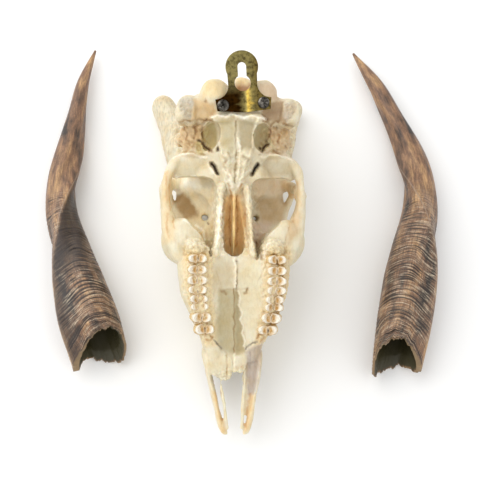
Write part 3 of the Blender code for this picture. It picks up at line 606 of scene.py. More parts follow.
def solidForms():
    rings = [
        [(x, y, -depth) for x, depth in half] + [(-x, y, -depth) for x, depth in half[-2:0:-1]]
        for y, half in outlines.items()
    ]
    yield addLoft("mainMass", rings)
    yield addBar("baseWedge", [
        (0, 110, -23, 14.5, 7), (0, 101, -21, 17, 7), (0, 96, -20.5, 18.5, 7), (0, 87, -22.5, 14, 6.5),
        (0, 75, -25.5, 12.5, 6.5), (0, 63, -27, 11, 6.5), (0, 51, -28, 7, 6), (0, 41, -29.5, 3, 5),
    ], 3.4)
    yield addBar("noseVault", [
        (0, 8, -66, 14, 3.4), (0, -10, -60.5, 14, 3.2), (0, -30, -53.5, 13, 3.0),
        (0, -50, -46.5, 11.5, 2.8), (0, -64, -43, 9, 2.8), (0, -75, -41.5, 4.5, 2.6),
    ], 2.2)
    yield addBall("rearKnob", (3.5, 115.5, -50), (11.5, 13.5, 12))
    for s in (1, -1):
        yield addBall("rearTubercle", (s * 11, 95.5, -15.5), (8, 3.6, 3.6))
        yield addBall("frontTubercle", (s * 6.5, 70, -20.5), (4.6, 8, 3.4), (0, 0, s * -8))
        yield addBall("condyle", (s * 15, 110, -25), (11.2, 13.6, 13), (10, s * 16, s * -24))
        yield addBall("condyleRoot", (s * 23, 105, -27), (14, 7.5, 9.5))
        yield addBar("neckProcess", [
            (s * 33, 91, -30, 5, 9), (s * 35.5, 94, -25, 7, 11), (s * 35.5, 101, -25, 7, 11.5),
            (s * 35, 108, -27, 6.4, 11), (s * 33, 112, -31, 4, 7),
        ], 5.0)
        yield addBar("neckShelf", [
            (s * 24, 92.5, -30, 8, 6), (s * 25, 95, -26, 10, 7.5), (s * 26, 102, -27, 10, 8),
            (s * 27, 108, -31, 8, 7),
        ], 4.0)
        yield addRod("nuchalCrest", [
            (s * 34, 96, -32, 5), (s * 36, 99, -44, 4.5), (s * 29, 106, -57, 4.2),
            (s * 15, 111, -65, 4), (0, 112.5, -67.5, 4),
        ])
        yield addBall("petrousBone", (s * 30, 85, -35), (8, 12, 8), (0, 0, s * 10))
        yield addRod("earCanal", [(s * 28, 82, -38, 5), (s * 37, 82, -40, 4.5), (s * 40, 81, -42, 4)])
        yield addBall("bearing", (s * 30, 63, -35), (16.5, 10.5, 6.2), (0, s * -6, 0))
        yield addBall("bearingLip", (s * 27, 73, -33), (11, 3, 4.5), (0, 0, s * -6))
        yield addBall("wingBone", (s * 16.5, 56, -33), (10, 10, 9))
        yield addBall("wingCrest", (s * 20, 46, -38), (7, 6, 5), (0, 0, s * 35))
        yield addBall("socketFloor", (s * 34, 11, -20), (15, 17, 9), (0, s * 14, s * -30))
        yield addBall("toothRootBulge", (s * 26, 7, -9), (6.5, 8, 9), (0, 0, s * -20))
        yield addRod("hornCore", coreLine(s))
        yield addBall("coreEnd", coreLine(s)[-1][:3], [skull["coreEnd"]] * 3)


def hollowForms():
    for s in (1, -1):
        x, y, z = skull["orbit"]
        yield addBall("socket", (s * x, y, z), (22.5, 17.8, 17.5), (0, 0, s * -12))
        yield addBall("temple", (s * 42, 63, -54), (12.5, 16.5, 18), (0, 0, s * 10))
        yield addBall("earGap", (s * 17.8, 84, -23), (6.8, 10.6, 14), (0, 0, s * 12))
        yield addRod("browHole", [(s * 18, 29, -40, 2.7), (s * 18, 29, -100, 2.7)])
        yield addBar("muscleGap", [
            (s * 14.4, -1, -20, 1.0, 26), (s * 15.2, 6, -20, 2.8, 26), (s * 16.2, 12, -20, 4.3, 26),
            (s * 17.4, 18, -20, 5.7, 27), (s * 21.8, 25, -22, 10.3, 28), (s * 24.2, 35, -22, 13.3, 28),
            (s * 25.8, 45, -22, 14.6, 28), (s * 26.5, 53, -26, 14.6, 22), (s * 28, 57, -38, 11, 10),
        ], 4.0)
    yield addBar("nasalPassage", [
        (0, 46, -20, 3.2, 7), (0, 36, -21, 6, 9.5), (0, 20, -19, 8.1, 12),
        (0, 6, -18, 7.8, 12), (0, -4, -20, 6.5, 9), (0, -12, -20, 5, 7),
    ], 2.8)
    yield addBar("noseOpening", [
        (0, -96, -23, 13, 17), (0, -78, -22.5, 15.5, 16.5), (0, -62, -23.5, 17, 17),
        (0, -44, -26, 17, 17), (0, -26, -29, 14, 15), (0, -14, -31, 8, 9),
    ], 2.4)
    yield addBall("brainSpace", (0, 80, -53), (26, 25, 12))
    yield addRod("spinalOpening", [(0, 128, -34, 9.5), (0, 112, -34, 9.5), (0, 94, -42, 10)])


def thinForms():
    yield addBar("palatePlateLeft", [
        (-9.3, -62, -3.4, 9.2, 1.5), (-9.2, -72, -3.2, 8.8, 1.2), (-6.4, -80.5, -3, 5.6, 0.9),
    ], 4.0)
    yield addBar("palatePlateRight", [
        (5.6, -62, -3.4, 5.6, 1.5), (4.4, -70, -3.2, 4.4, 1.2), (3.6, -75, -3, 3.4, 0.9),
    ], 4.0)
    yield addBar("palateShelfRight", [
        (12.5, -60, -6, 6, 1.3), (12.2, -72, -6.5, 5.4, 1.3), (11.2, -84, -6, 4.2, 1.3),
        (9.6, -96, -5, 3, 1.3), (8, -104, -4.2, 2, 1.2),
    ], 4.0)
    yield addRod("palateRodLeft", [
        (-9.4, -70, -3.6, 1.3), (-8.6, -84, -3.2, 1.0), (-6.6, -98, -2.8, 1.0), (-5.6, -112, -2.6, 1.4),
    ])
    yield addRod("palateRodRight", [
        (8.4, -70, -6, 1.4), (6.8, -84, -4.6, 1.1), (5.6, -98, -3.4, 1.1), (4.6, -112, -2.6, 1.4),
    ])
    yield addBar("wedgeTip", [
        (0, 54, -28, 8, 6), (0, 47, -29, 6, 5), (0, 40, -30, 3.8, 4.4), (0, 33, -31, 1.4, 3.6),
    ], 2.6)
    yield addBar("vomer", [
        (0, 50, -29, 2.4, 7), (0, 36, -28, 1.1, 8), (0, 18, -25, 1.1, 10), (0, 0, -23, 1.1, 10),
    ], 3.0)
    for s in (1, -1):
        yield addBar("wingPlate", [
            (s * 8.5, 53, -30, 3, 10), (s * 9.2, 45, -27, 1.9, 10), (s * 10, 33, -23.5, 1.5, 12),
            (s * 10.6, 20, -20.5, 1.6, 14), (s * 11.6, 8, -17, 2.0, 14.5), (s * 13, -1, -13.5, 3.6, 12),
        ], 3.0)
        yield addBar("cheekArch", [
            (s * 38, 70, -33, 5, 4), (s * 43.5, 63, -31, 4.4, 4.2), (s * 46.4, 54, -29.5, 3, 4.8),
            (s * 47, 43, -28, 3, 6), (s * 45.4, 31, -26.5, 4.6, 7), (s * 42, 19, -24, 7.4, 8.5),
            (s * 37.5, 7, -20, 8.5, 11), (s * 33, -5, -18, 7, 11),
        ], 2.4)
        yield addRod("eyeStrut", [
            (s * 34, 55, -76, 7), (s * 42, 53, -64, 4.6), (s * 46, 50, -50, 3.6),
            (s * 46.5, 47, -38, 3.8), (s * 46.5, 44, -29, 4.6),
        ])
        centre = Vector((s * 43.2, *skull["orbit"][1:]))
        turn = Matrix.Rotation(radians(s * -12), 3, "Z") @ Matrix.Rotation(radians(s * 8), 3, "Y")
        rim = []
        for i in range(16):
            angle = 2 * pi * i / 16
            spot = centre + turn @ Vector((0, cos(angle), sin(angle))) * skull["rimRadius"]
            rim.append((*spot, skull["rimThickness"]))
        yield addRod("eyeRim", rim, ring=True)
        yield addBar("premaxilla", [
            (s * 17.3, -58, -19, 3.6, 17), (s * 17.6, -68, -18, 2.6, 15.5), (s * 16.2, -78, -14.5, 2.0, 12.5),
            (s * 13.8, -88, -11.5, 1.9, 9.8), (s * 11.8, -99, -8, 1.9, 6.8), (s * 9.6, -108, -5, 2.4, 4.2),
            (s * 7.4, -114, -3.4, 2.8, 2.4), (s * 6.4, -116, -2.6, 1.4, 1.2),
        ], 3.0)


def bent(forms):
    # the forms with their points moved by the skull's slight bend, apart from the horn cores
    for form in forms:
        if not form.name.startswith(("hornCore", "coreEnd")):
            spots = getPoints(form)
            y = spots[:, 1] / mm
            (rear, rearY), (front, frontY) = skull["rearDrift"], skull["frontDrift"]
            spots[:, 0] += (rear * np.maximum(y - rearY, 0) + front * np.maximum(frontY - y, 0)) * mm
            setPoints(form, spots)
        yield form


def fuse(piece, voxel):
    modify(piece, "REMESH", mode="VOXEL", voxel_size=voxel * mm)


def keepLargest(piece):
    # drops the loose crumbs that a cut can leave
    use(piece)
    bpy.ops.object.mode_set(mode="EDIT")
    bpy.ops.mesh.select_all(action="SELECT")
    bpy.ops.mesh.separate(type="LOOSE")
    bpy.ops.object.mode_set(mode="OBJECT")
    parts = sorted(bpy.context.selected_objects, key=lambda part: len(part.data.vertices))
    for part in parts[:-1]:
        bpy.data.objects.remove(part)
    return parts[-1]


bone = joinPieces(list(bent(solidForms())), "skullBone")
fuse(bone, skull["voxel"])
print("solid forms fused")
cut(bone, "DIFFERENCE", list(bent(hollowForms())))
print("hollows cut")
bone = joinPieces([bone, *bent(thinForms())], "skullBone")
fuse(bone, skull["voxel"])
modify(bone, "SMOOTH", factor=0.5, iterations=skull["softening"])
(_, y, z), (yRange, zRange, rounds) = getPoints(bone).T / mm, skull["socketWalls"]
sunk = np.flatnonzero((z < zRange[1]) & (z > zRange[0]) & (y > yRange[0]) & (y < yRange[1]))
bone.vertex_groups.new(name="socketWalls").add([int(i) for i in sunk], 1.0, "REPLACE")
modify(bone, "SMOOTH", factor=0.5, iterations=rounds, vertex_group="socketWalls")
bone = keepLargest(bone)
print("bone fused:", triangles(bone), "triangles")


# Marks on the bone: grooves, ridges, pits, stained patches and some patches of painted light and painted
# shade, placed by photograph pixels that were read off

def nearPath(seen, path, reach):
    # the points near a line through the path, and their distance from it in pixels
    path = np.array(path, float)
    low, high = path.min(0) - reach, path.max(0) + reach
    near = np.flatnonzero(((seen > low) & (seen < high)).all(1))
    spots = seen[near]
    best = np.full(len(near), 1e9)
    for start, end in zip(path, path[1:]):
        run = end - start
        t = np.clip(((spots - start) @ run) / max(run @ run, 1e-9), 0, 1)
        best = np.minimum(best, np.linalg.norm(spots - start - t[:, None] * run, axis=1))
    return near, best


def lineMask(seen, path, width):
    near, distance = nearPath(seen, path, 3 * width)
    return near, np.exp(-((distance / width) ** 2))


def areaMask(seen, path, soft):
    # 1 inside the outline, fading to 0 over `soft` pixels on both sides of it
    near, distance = nearPath(seen, [*path, path[0]], 2 * soft)
    x, y = seen[near].T
    inside = np.zeros(len(near), bool)
    for (ax, ay), (bx, by) in zip(path, [*path[1:], path[0]]):
        crosses = (ay > y) != (by > y)
        if ay != by:
            inside ^= crosses & (x < ax + (y - ay) * (bx - ax) / (by - ay))
    signed = np.where(inside, distance, -distance)
    t = np.clip(0.5 + signed / (2 * soft), 0, 1)
    return near, t * t * (3 - 2 * t)


# the ranges of the skull's z in which the marks of each region lie
palate, snout, deep = (-14, 4), (-45, 4), (-125, -30)
base, crust, border = (-40, -8), (-60, -10), (-60, -8)

lineMarks = [
    # depth in mm (below 0 raises), half width in px, colour, strength, range of z, path in px
    # palate
    (-1.0, 1.5, "#F8F1DF", 0.6, palate, [(234.6, 257), (235.6, 270), (235.4, 288)]),
    (0.5, 0.7, "#8A744E", 0.8, palate, [(237.4, 261.5), (237, 275), (236.6, 289)]),
    (0.9, 1.4, "#2E2620", 0.9, palate, [(237, 261.6), (237.6, 263)]),
    (0.5, 0.75, "#9A7B48", 0.9, palate, [(234, 289), (234.4, 320), (234, 353)]),
    (0.4, 2.6, "#A2926A", 0.55, palate, [(237.4, 292), (237.6, 318), (238.4, 350)]),
    (-0.5, 1.0, "#F1EAD4", 0.8, palate, [(238.6, 291), (240.3, 299), (239, 305), (241.6, 312),
        (240.6, 319), (243, 326), (242, 333), (245, 340), (244, 346), (247, 350)]),
    (1.1, 1.1, "#A5885A", 0.9, palate, [(221.8, 291.6), (224, 290.8), (226, 294.4)]),
    (1.1, 1.1, "#A5885A", 0.9, palate, [(244.6, 293.6), (246.4, 292.4), (247.8, 288.6)]),
    (0.2, 0.8, "#C0AC86", 0.5, palate, [(220, 290.6), (234, 289.4), (246, 288.6)]),
    (0.25, 0.7, "#B7A27C", 0.5, palate, [(267, 261), (263.6, 270), (258.8, 279), (257, 286)]),
    (0.15, 0.7, "#C3AF8A", 0.4, palate, [(213, 262), (217, 274), (221.5, 288)]),
    (0.9, 1.0, "#6E675A", 0.85, palate, [(214, 341), (217, 343), (221.6, 348.4)]),
    (0.9, 1.0, "#7A7062", 0.85, palate, [(246, 349), (249.4, 345), (252.6, 343), (257.6, 341.6)]),
    (1.3, 1.3, "#B98A48", 0.9, palate, [(206, 335), (209.6, 334), (212.6, 337), (211, 340.6), (207, 340)]),
    (1.3, 1.3, "#B98A48", 0.9, palate, [(257.6, 338.6), (258.6, 334.4), (262.6, 333.6), (264, 337),
        (261, 340.6)]),
    (0.5, 0.7, "#B99A66", 0.7, palate, [(226, 352), (227.4, 366), (226.6, 380)]),
    (-0.5, 1.0, "#F3E9CC", 0.7, palate, [(234.4, 354), (234, 372)]),
    # snout; the first three grooves are pinkish grey, painted shade on its right side
    (0.35, 0.7, "#A99C92", 0.7, snout, [(250, 352), (250.4, 372), (249, 392)]),
    (0.3, 0.6, "#B3A79C", 0.6, snout, [(254.6, 348), (254.8, 366), (253, 384)]),
    (0.3, 0.6, "#B9AB9A", 0.6, snout, [(258.4, 346), (257.4, 364)]),
    (0.7, 1.2, "#CF9C5C", 0.9, snout, [(250, 394), (248.4, 404), (246.8, 416), (245.8, 428)]),
    (0.8, 0.9, "#A9743A", 0.9, snout, [(219.6, 391), (220.8, 402), (222.4, 420)]),
    (0.3, 0.8, "#D7B57C", 0.7, snout, [(216, 384), (218.6, 400), (222, 424)]),
    # skull base
    (-1.3, 1.5, "#FBF6E6", 0.8, base, [(210.8, 118), (218, 115.4), (226, 117), (231, 114), (236.2, 115.6)]),
    (-1.3, 1.5, "#FBF6E6", 0.8, base, [(236.2, 115.8), (244.5, 118), (250, 115.6), (256, 117),
        (264.6, 119)]),
    (0.9, 0.9, "#A0906A", 0.8, base, [(236.2, 121), (235.6, 147), (235.6, 160), (234.6, 182)]),
    (-1.0, 1.3, "#F7F0DC", 0.9, base, [(238.2, 139), (240, 148), (239.4, 160), (237.6, 178)]),
    (-0.9, 1.4, "#F0E7CC", 0.7, base, [(213.6, 119), (218, 131), (219, 147), (225, 163), (231.6, 180)]),
    (-0.9, 1.4, "#F0E7CC", 0.7, base, [(258, 119), (254.6, 131), (252.6, 147), (247.2, 163), (240.4, 180)]),
    (0.7, 1.8, "#B59D70", 0.7, base, [(222, 156), (226.4, 159.6), (224.6, 164)]),
    (0.6, 1.6, "#B59D70", 0.7, base, [(227.6, 153), (231, 157)]),
    (0.6, 1.8, "#A8956C", 0.6, base, [(243, 157), (248.6, 159.6), (246, 166)]),
    (-0.8, 1.5, "#F5EEDA", 0.7, base, [(222.4, 170), (228.6, 176), (232.4, 187)]),
    (-0.8, 1.5, "#F5EEDA", 0.7, base, [(249.6, 170), (243.6, 176), (238, 187)]),
    # the slits of the two oval holes: deep grooves painted near black, painted shade for the depth of the
    # holes
    (5.0, 1.6, "#2A140C", 1.0, (-60, -16), [(211.8, 163.6), (214.6, 167.4), (217.8, 173.6)]),
    (4.5, 1.6, "#2A140C", 1.0, (-60, -16), [(257.9, 164.6), (255, 168.6), (252.4, 174.4)]),
    (-0.7, 1.3, "#FAF3E0", 0.7, base, [(208.6, 164.6), (213, 172.4), (217, 177)]),
    (2.4, 1.2, "#4A2A16", 0.95, crust, [(197.6, 139.6), (202, 142.6), (205, 147), (209.4, 150.6)]),
    (2.2, 1.2, "#4A2A16", 0.95, crust, [(262.2, 151.4), (264, 147), (267.8, 144.4)]),
    (2.0, 1.3, "#3E2414", 0.95, crust, [(217.8, 148), (218.2, 150.2)]),
    (1.8, 1.1, "#3E2414", 0.95, crust, [(259.8, 148), (260.2, 149.6)]),
    (1.2, 1.2, "#A07A48", 0.85, (-60, -6), [(180, 122), (186, 119.6), (191, 121.4), (199.6, 119),
        (205, 121.2), (212.6, 120)]),
    (1.2, 1.2, "#9A764A", 0.85, (-60, -6), [(263, 121), (270, 123.6), (277, 121), (284, 124), (292, 126)]),
    (0.9, 1.5, "#7E5529", 0.95, (-60, -6), [(206, 119), (203, 125), (201.6, 132), (203, 140),
        (207, 147), (212, 151)]),
    (0.9, 1.4, "#7E5529", 0.9, (-60, -6), [(266.6, 119), (270.4, 125), (270.6, 132), (267, 140),
        (262, 148)]),
    (1.2, 1.2, "#A87B48", 0.9, (-60, 0), [(205.2, 101), (206.2, 102.2)]),
    (0.9, 1.2, "#9D733F", 0.9, crust, [(184, 128), (187.6, 133), (186, 139), (190, 145)]),
    (0.9, 1.2, "#9D733F", 0.9, crust, [(194, 126), (196.6, 132), (193.6, 138)]),
    (0.8, 1.1, "#A47B48", 0.9, crust, [(276, 130), (280, 136), (277.6, 142), (283, 148)]),
    (0.8, 1.1, "#A47B48", 0.8, crust, [(273, 150), (279, 154), (286, 156)]),
    (1.2, 1.2, "#7E5A32", 0.8, crust, [(283.6, 145.6), (285.4, 146.8)]),
    (-0.9, 1.4, "#FBF4E2", 0.8, border, [(173, 158), (182, 154), (194, 155), (206, 157.6)]),
    (0.7, 1.2, "#B08C58", 0.7, border, [(176, 154), (186, 151), (198, 152.6), (208, 155)]),
    (-0.9, 1.4, "#F3EAD4", 0.7, border, [(262, 158), (272, 155), (284, 156), (292, 160)]),
    (0.7, 1.2, "#A98B62", 0.7, border, [(260, 155), (270, 151.6), (282, 152.6)]),
    # arches and sockets
    (0.2, 1.3, "#CF9F60", 0.55, border, [(166.6, 173), (166, 186), (167, 202)]),
    (0.2, 1.0, "#D6A566", 0.6, border, [(170, 180), (169.4, 196), (170.6, 210)]),
    (0.2, 1.2, "#CF9A58", 0.7, border, [(167.6, 214), (166.6, 226), (169, 238)]),
    (0.3, 0.7, "#D09C58", 0.7, border, [(172.6, 216), (174, 228)]),
    (0.3, 0.7, "#C9A06A", 0.7, border, [(293.6, 184), (294.6, 204), (293, 222)]),
    (0.3, 0.6, "#C7A57A", 0.6, border, [(290, 222), (287, 236), (284, 248)]),
    (-0.8, 1.4, "#FBF4E0", 0.8, (-60, 0), [(184, 220), (195, 224), (203.6, 231), (205, 241), (212, 256)]),
    (-0.7, 1.3, "#F6ECD8", 0.8, (-60, 0), [(270, 239), (266, 248), (264, 258)]),
    (1.2, 1.4, "#8F6534", 0.8, (-60, 0), [(256, 242), (258.6, 252), (262.6, 259)]),
    (0.8, 1.0, "#6B4A2A", 0.9, deep, [(207.6, 222.6), (208.6, 224)]),
    # passage behind the palate
    (-0.8, 1.1, "#EFCB8C", 0.8, (-70, -14), [(233.4, 204), (233.2, 220), (233.4, 250)]),
    (0.4, 0.9, "#C48A48", 0.8, (-70, -14), [(230.4, 196), (229.4, 220), (230.6, 246)]),
    (0.4, 0.9, "#C48A48", 0.8, (-70, -14), [(236.6, 196), (237.6, 220), (236.6, 246)]),
    (0.5, 1.0, "#C79352", 0.8, (-70, -10), [(228, 184), (231, 192), (232.6, 202)]),
    (0.5, 1.0, "#C79352", 0.8, (-70, -10), [(241, 184), (238, 192), (236, 202)]),
]

areaMarks = [
    # depth in mm, softness in px, colour, strength, range of z, outline in px
    # palate: the vault lies deeper and is painted grey green as painted shade, its right side paler
    (0.9, 3.5, "#BCB08A", 0.85, palate, [(220, 289), (217, 318), (215, 336), (221, 350), (234, 356),
        (246, 352), (243, 330), (239, 305), (238, 290)]),
    (0.3, 5.0, "#CDBE9C", 0.6, palate, [(213, 262), (232, 260), (234, 288), (220, 289), (212, 300),
        (209, 280)]),
    (0.2, 3.0, "#A8996E", 0.5, palate, [(235, 291), (239, 291), (242, 320), (246, 349), (235, 354)]),
    (0.0, 4.0, "#DDD1AC", 0.5, palate, [(242, 262), (258, 262), (262, 290), (256, 330), (245, 330),
        (240, 292)]),
    (0.0, 3.0, "#E4D8B6", 0.5, palate, [(207, 350), (232, 356), (233, 380), (212, 380)]),
    # the right side of the snout, painted pinkish grey as painted shade
    (0.6, 2.5, "#B9ACA3", 0.8, snout, [(247, 350), (263, 342), (259.5, 374), (255, 394), (248, 396),
        (245.6, 372)]),
    (0.0, 3.0, "#E2BE7E", 0.7, snout, [(212, 392), (218, 390), (226, 432), (221, 436)]),
    (0.0, 3.0, "#E2BE7E", 0.6, snout, [(250, 396), (255, 394), (250, 430), (243, 434)]),
    # skull base
    (0.4, 3.0, "#C9BC94", 0.75, base, [(219, 120), (234.6, 118), (234.6, 152), (222, 152)]),
    (0.5, 3.0, "#B6A680", 0.8, base, [(237.6, 120), (255, 120), (253, 150), (240, 150)]),
    (0.0, 4.0, "#D6C8A2", 0.6, border, [(175, 164), (206, 160), (210, 176), (190, 178), (176, 178)]),
    (0.0, 4.0, "#BEB090", 0.75, border, [(262, 160), (291, 160), (296, 176), (262, 178)]),
    (0.6, 2.2, "#BDB4A4", 0.75, (-60, 4), [(179, 98), (193.4, 97), (194.3, 105), (192.8, 112.5),
        (190.6, 120), (184, 117), (178, 105)]),
    (0.5, 2.2, "#BDAE9A", 0.75, (-60, 4), [(286, 103), (294, 101), (297, 108), (292, 119), (285, 123),
        (282, 114)]),
    (0.3, 2.8, "#DDBD88", 0.75, (-60, 4), [(194, 98), (215, 105), (217, 112.5), (208, 120.4),
        (191, 120), (194.5, 107)]),
    (0.3, 2.0, "#A88A66", 0.85, (-60, 4), [(262, 103), (284, 101), (283, 114), (286, 123), (262, 120)]),
    (0.0, 5.0, "#CDA972", 0.7, (-70, -6), [(172, 122), (204, 122), (204, 150), (178, 150)]),
    (0.0, 5.0, "#C0A073", 0.7, (-70, -6), [(266, 124), (294, 126), (292, 154), (264, 152)]),
    (0.0, 2.0, "#EBD2A2", 0.85, (-75, -20), [(236, 74), (254, 74), (254, 92), (236, 92)]),
    (0.0, 3.0, "#A0652C", 0.85, (-75, -20), [(236, 85.5), (254, 84.5), (253, 94), (237, 94)]),
    # golden crust of thin bone round the tooth rows
    (-0.3, 3.0, "#E9D09C", 0.6, palate, [(183, 246), (213, 246), (213, 300), (217, 330), (218, 346),
        (204, 346), (190, 312), (182, 276)]),
    (-0.3, 3.0, "#E6CC9A", 0.6, palate, [(262, 246), (292, 246), (292, 284), (284, 316), (270, 342),
        (254, 344), (258, 322), (263, 296)]),
    # the condyles: the right one is painted darker than the left, as painted shade
    (0.0, 4.0, "#E9CF98", 0.7, (-50, 0), [(202, 80), (228, 78), (228, 98), (202, 98)]),
    (0.0, 4.0, "#CDB08E", 0.8, (-50, 0), [(258, 82), (280, 84), (280, 101), (258, 101)]),
    # braincase floor, seen through the gaps of the ears, painted pale as painted light
    (0.0, 2.0, "#D6C896", 0.9, (-90, -29), [(196, 112), (224, 112), (224, 156), (196, 156)]),
    (0.0, 2.0, "#D8CBA4", 0.9, (-90, -29), [(250, 112), (276, 112), (276, 156), (250, 156)]),
    # eye sockets and the muscle gaps beside the passage; the sockets hold bands of painted light and painted
    # shade: bright above, a tan band of painted shade, a lighter floor
    (0.0, 2.5, "#FFFAE8", 1.0, deep, [(172, 176), (200, 176), (202, 193), (190, 190), (183, 193),
        (174, 196)]),
    (0.0, 2.5, "#A98448", 0.85, deep, [(173, 197), (183, 193), (194, 203), (202, 221), (208, 239),
        (204, 244), (196, 232), (184, 219), (177, 208)]),
    (0.0, 2.5, "#FBEFD0", 0.9, deep, [(188, 188), (216, 188), (216, 228), (205, 227), (199, 213),
        (191, 200)]),
    (0.0, 3.0, "#EEDDB4", 0.8, deep, [(184, 220), (204, 214), (216, 226), (216, 256), (205, 244)]),
    (0.0, 4.0, "#F3DFC0", 0.85, deep, [(252, 178), (288, 178), (292, 196), (256, 196)]),
    (0.0, 4.0, "#CDB287", 0.8, deep, [(254, 198), (288, 196), (282, 222), (262, 222)]),
    (0.0, 4.0, "#E3CCBA", 0.7, deep, [(250, 222), (272, 222), (266, 246), (252, 250)]),
    (0.0, 3.0, "#FBD9A0", 1.0, (-120, -14), [(226, 196), (241, 196), (247, 222), (245, 256), (224, 256),
        (221, 222)]),
    (0.0, 2.0, "#FFF8E4", 1.0, (-28, -4), [(215, 205), (223, 205), (226, 256), (214, 256)]),
    (0.0, 2.0, "#EBDBB8", 0.8, (-28, -4), [(246, 205), (253, 205), (256, 256), (244, 256)]),
    # the cheek arches: the right one is painted darker than the left, as painted shade
    (0.0, 3.0, "#E6CA94", 0.5, border, [(162, 170), (174, 172), (173, 208), (176, 240), (163, 244)]),
    (0.0, 3.0, "#D5B88C", 0.7, border, [(286, 182), (300, 180), (300, 230), (288, 246)]),
]


def sideways(points, size, seed, reach):
    # a small random shift of each point in two directions
    return np.stack([softNoise(points, size, seed), softNoise(points, size, seed + 1)], 1) * reach


def wander(points, seen):
    # ragged, natural edges: the pixel places shifted by a small noise
    return seen + sideways(points, 2.2, 61, 0.55) + sideways(points, 0.9, 63, 0.3)


def eachMark(points, seen):
    # yields each mark's depth, colour, strength, its points and how far it covers them; a
    # shallow groove is broken up along its way
    for marks, mask in ((areaMarks, areaMask), (lineMarks, lineMask)):
        for depth, size, colour, strength, (low, high), path in marks:
            near, cover = mask(seen, path, size)
            cover = cover * ((points[near, 2] > low) & (points[near, 2] < high))
            if mask is lineMask and 0 < depth < 1.5:
                cover = cover * np.clip(0.75 + 0.45 * softNoise(points[near], 3.5, 65), 0.25, 1)
            yield depth, colour, strength, near, cover


roughPlaces = [
    # px outline, lumps in mm high and across: the torn bone round the ears and the sawn faces
    ([(172, 120), (206, 121), (208, 152), (176, 152)], 0.9, 3.0),
    ([(264, 122), (296, 124), (294, 154), (260, 152)], 0.9, 3.0),
    ([(178, 97), (194, 97), (192, 120), (180, 116)], 0.45, 1.3),
    ([(284, 102), (297, 102), (294, 122), (284, 124)], 0.45, 1.3),
    ([(196, 240), (214, 240), (214, 260), (190, 256)], 0.7, 2.4),
    ([(256, 240), (276, 242), (282, 258), (262, 260)], 0.7, 2.4),
    ([(219, 150), (254, 150), (246, 182), (226, 182)], 0.5, 2.2),
    ([(183, 246), (213, 246), (214, 330), (218, 346), (204, 346), (183, 290)], 0.5, 1.5),
    ([(262, 246), (292, 246), (288, 300), (270, 342), (254, 344), (260, 310)], 0.5, 1.5),
    ([(212, 186), (226, 186), (226, 256), (210, 256)], 0.5, 2.0),
    ([(243, 186), (258, 186), (260, 256), (244, 256)], 0.5, 2.0),
    ([(214, 372), (246, 364), (246, 386), (214, 386)], 0.6, 1.4),
    ([(184, 236), (206, 240), (214, 254), (186, 256)], 0.6, 1.6),
    ([(264, 238), (284, 240), (292, 256), (262, 256)], 0.6, 1.6),
]


def carveBone(points, normals, seen):
    faces = np.clip(normals[:, 2] * 4, 0, 1)
    for path, high, size in roughPlaces:
        near, cover = areaMask(seen, path, 3.0)
        lumps = softNoise(points[near], size, 71) + 0.5 * softNoise(points[near], size / 2.2, 72)
        points[near] += normals[near] * (cover * high * lumps)[:, None]
    for depth, _, _, near, cover in eachMark(points, seen):
        points[near, 2] -= depth * cover * faces[near]


points = getPoints(bone) / mm
normals = getNormals(bone)
seen = wander(points, seenAt(points))
for (high, size), seed in ((skull["lumps"], 11), (skull["ripples"], 12)):
    points += normals * (softNoise(points, size, seed) * high)[:, None]
carveBone(points, normals, seen)
setPoints(bone, points * mm)
print("bone carved")


# Colour of the bone: a base colour, soft patches that blend over it, some of them painted light and painted
# shade, and painted shade in its hollows

boneTintsAndShade = {
    "ivory": "#E3DABF",
    # painted shade for the hollows: its colour, share and gain; and how much lighter the ridges are painted
    "creviceShade": "#A9824E",
    "creviceShare": 0.55,
    "creviceGlow": 1.6,  # what keeps the crevices from turning grey
    "ridgeLightening": 0.22,
}


def paintBone(piece):
    spots = getPoints(piece) / mm
    at = wander(spots, seenAt(spots))
    faces = np.clip(0.3 + getNormals(piece)[:, 2] * 2.5, 0, 1)
    colour = np.tile(hexColour(boneTintsAndShade["ivory"]), (len(spots), 1))
    for _, code, strength, near, cover in eachMark(spots, at):
        layOver(colour, strength * cover * faces[near], code, near)
    # painted shade in the hollows: the deeper a point lies below the smoothed surface, the more it takes the
    # shade colour; points on ridges are painted lighter
    hollow = np.zeros(len(spots), np.float32)
    piece.data.attributes["hollow"].data.foreach_get("value", hollow)
    hollowShade = np.clip(hollow, 0, 1)[:, None] * boneTintsAndShade["creviceShare"]
    colour += hollowShade * (colour * np.array(hexColour(boneTintsAndShade["creviceShade"])) * boneTintsAndShade["creviceGlow"] - colour)
    colour *= 1 + boneTintsAndShade["ridgeLightening"] * np.clip(-hollow, 0, 1)[:, None]
    addTint(piece, colour)


def markHollows(piece, rounds=24):
    # how far each point lies below the smoothed surface round it, in mm from -1 to 1
    smooth = piece.copy()
    smooth.data = piece.data.copy()
    bpy.context.scene.collection.objects.link(smooth)
    modify(smooth, "SMOOTH", factor=0.5, iterations=rounds)
    sunk = ((getPoints(smooth) - getPoints(piece)) * getNormals(piece)).sum(1) / mm
    bpy.data.objects.remove(smooth)
    storeValues(piece, "hollow", np.clip(sunk, -1, 1))


markHollows(bone)

# The skull is parted where the CAD skull is, without a gap

parting = {
    "skullBack": ((-80, 92, -130), (80, 150, 20)),  # boxes, corner to corner in mm
    "upperJaw": ((-80, -150, -120), (80, 7, 30)),
    "skullRoof": ((-80, 0, -150), (80, 120, -54)),
}
sleeveSize = {"radius": 18, "length": 70}  # mm, the round cutter that takes off a horn core


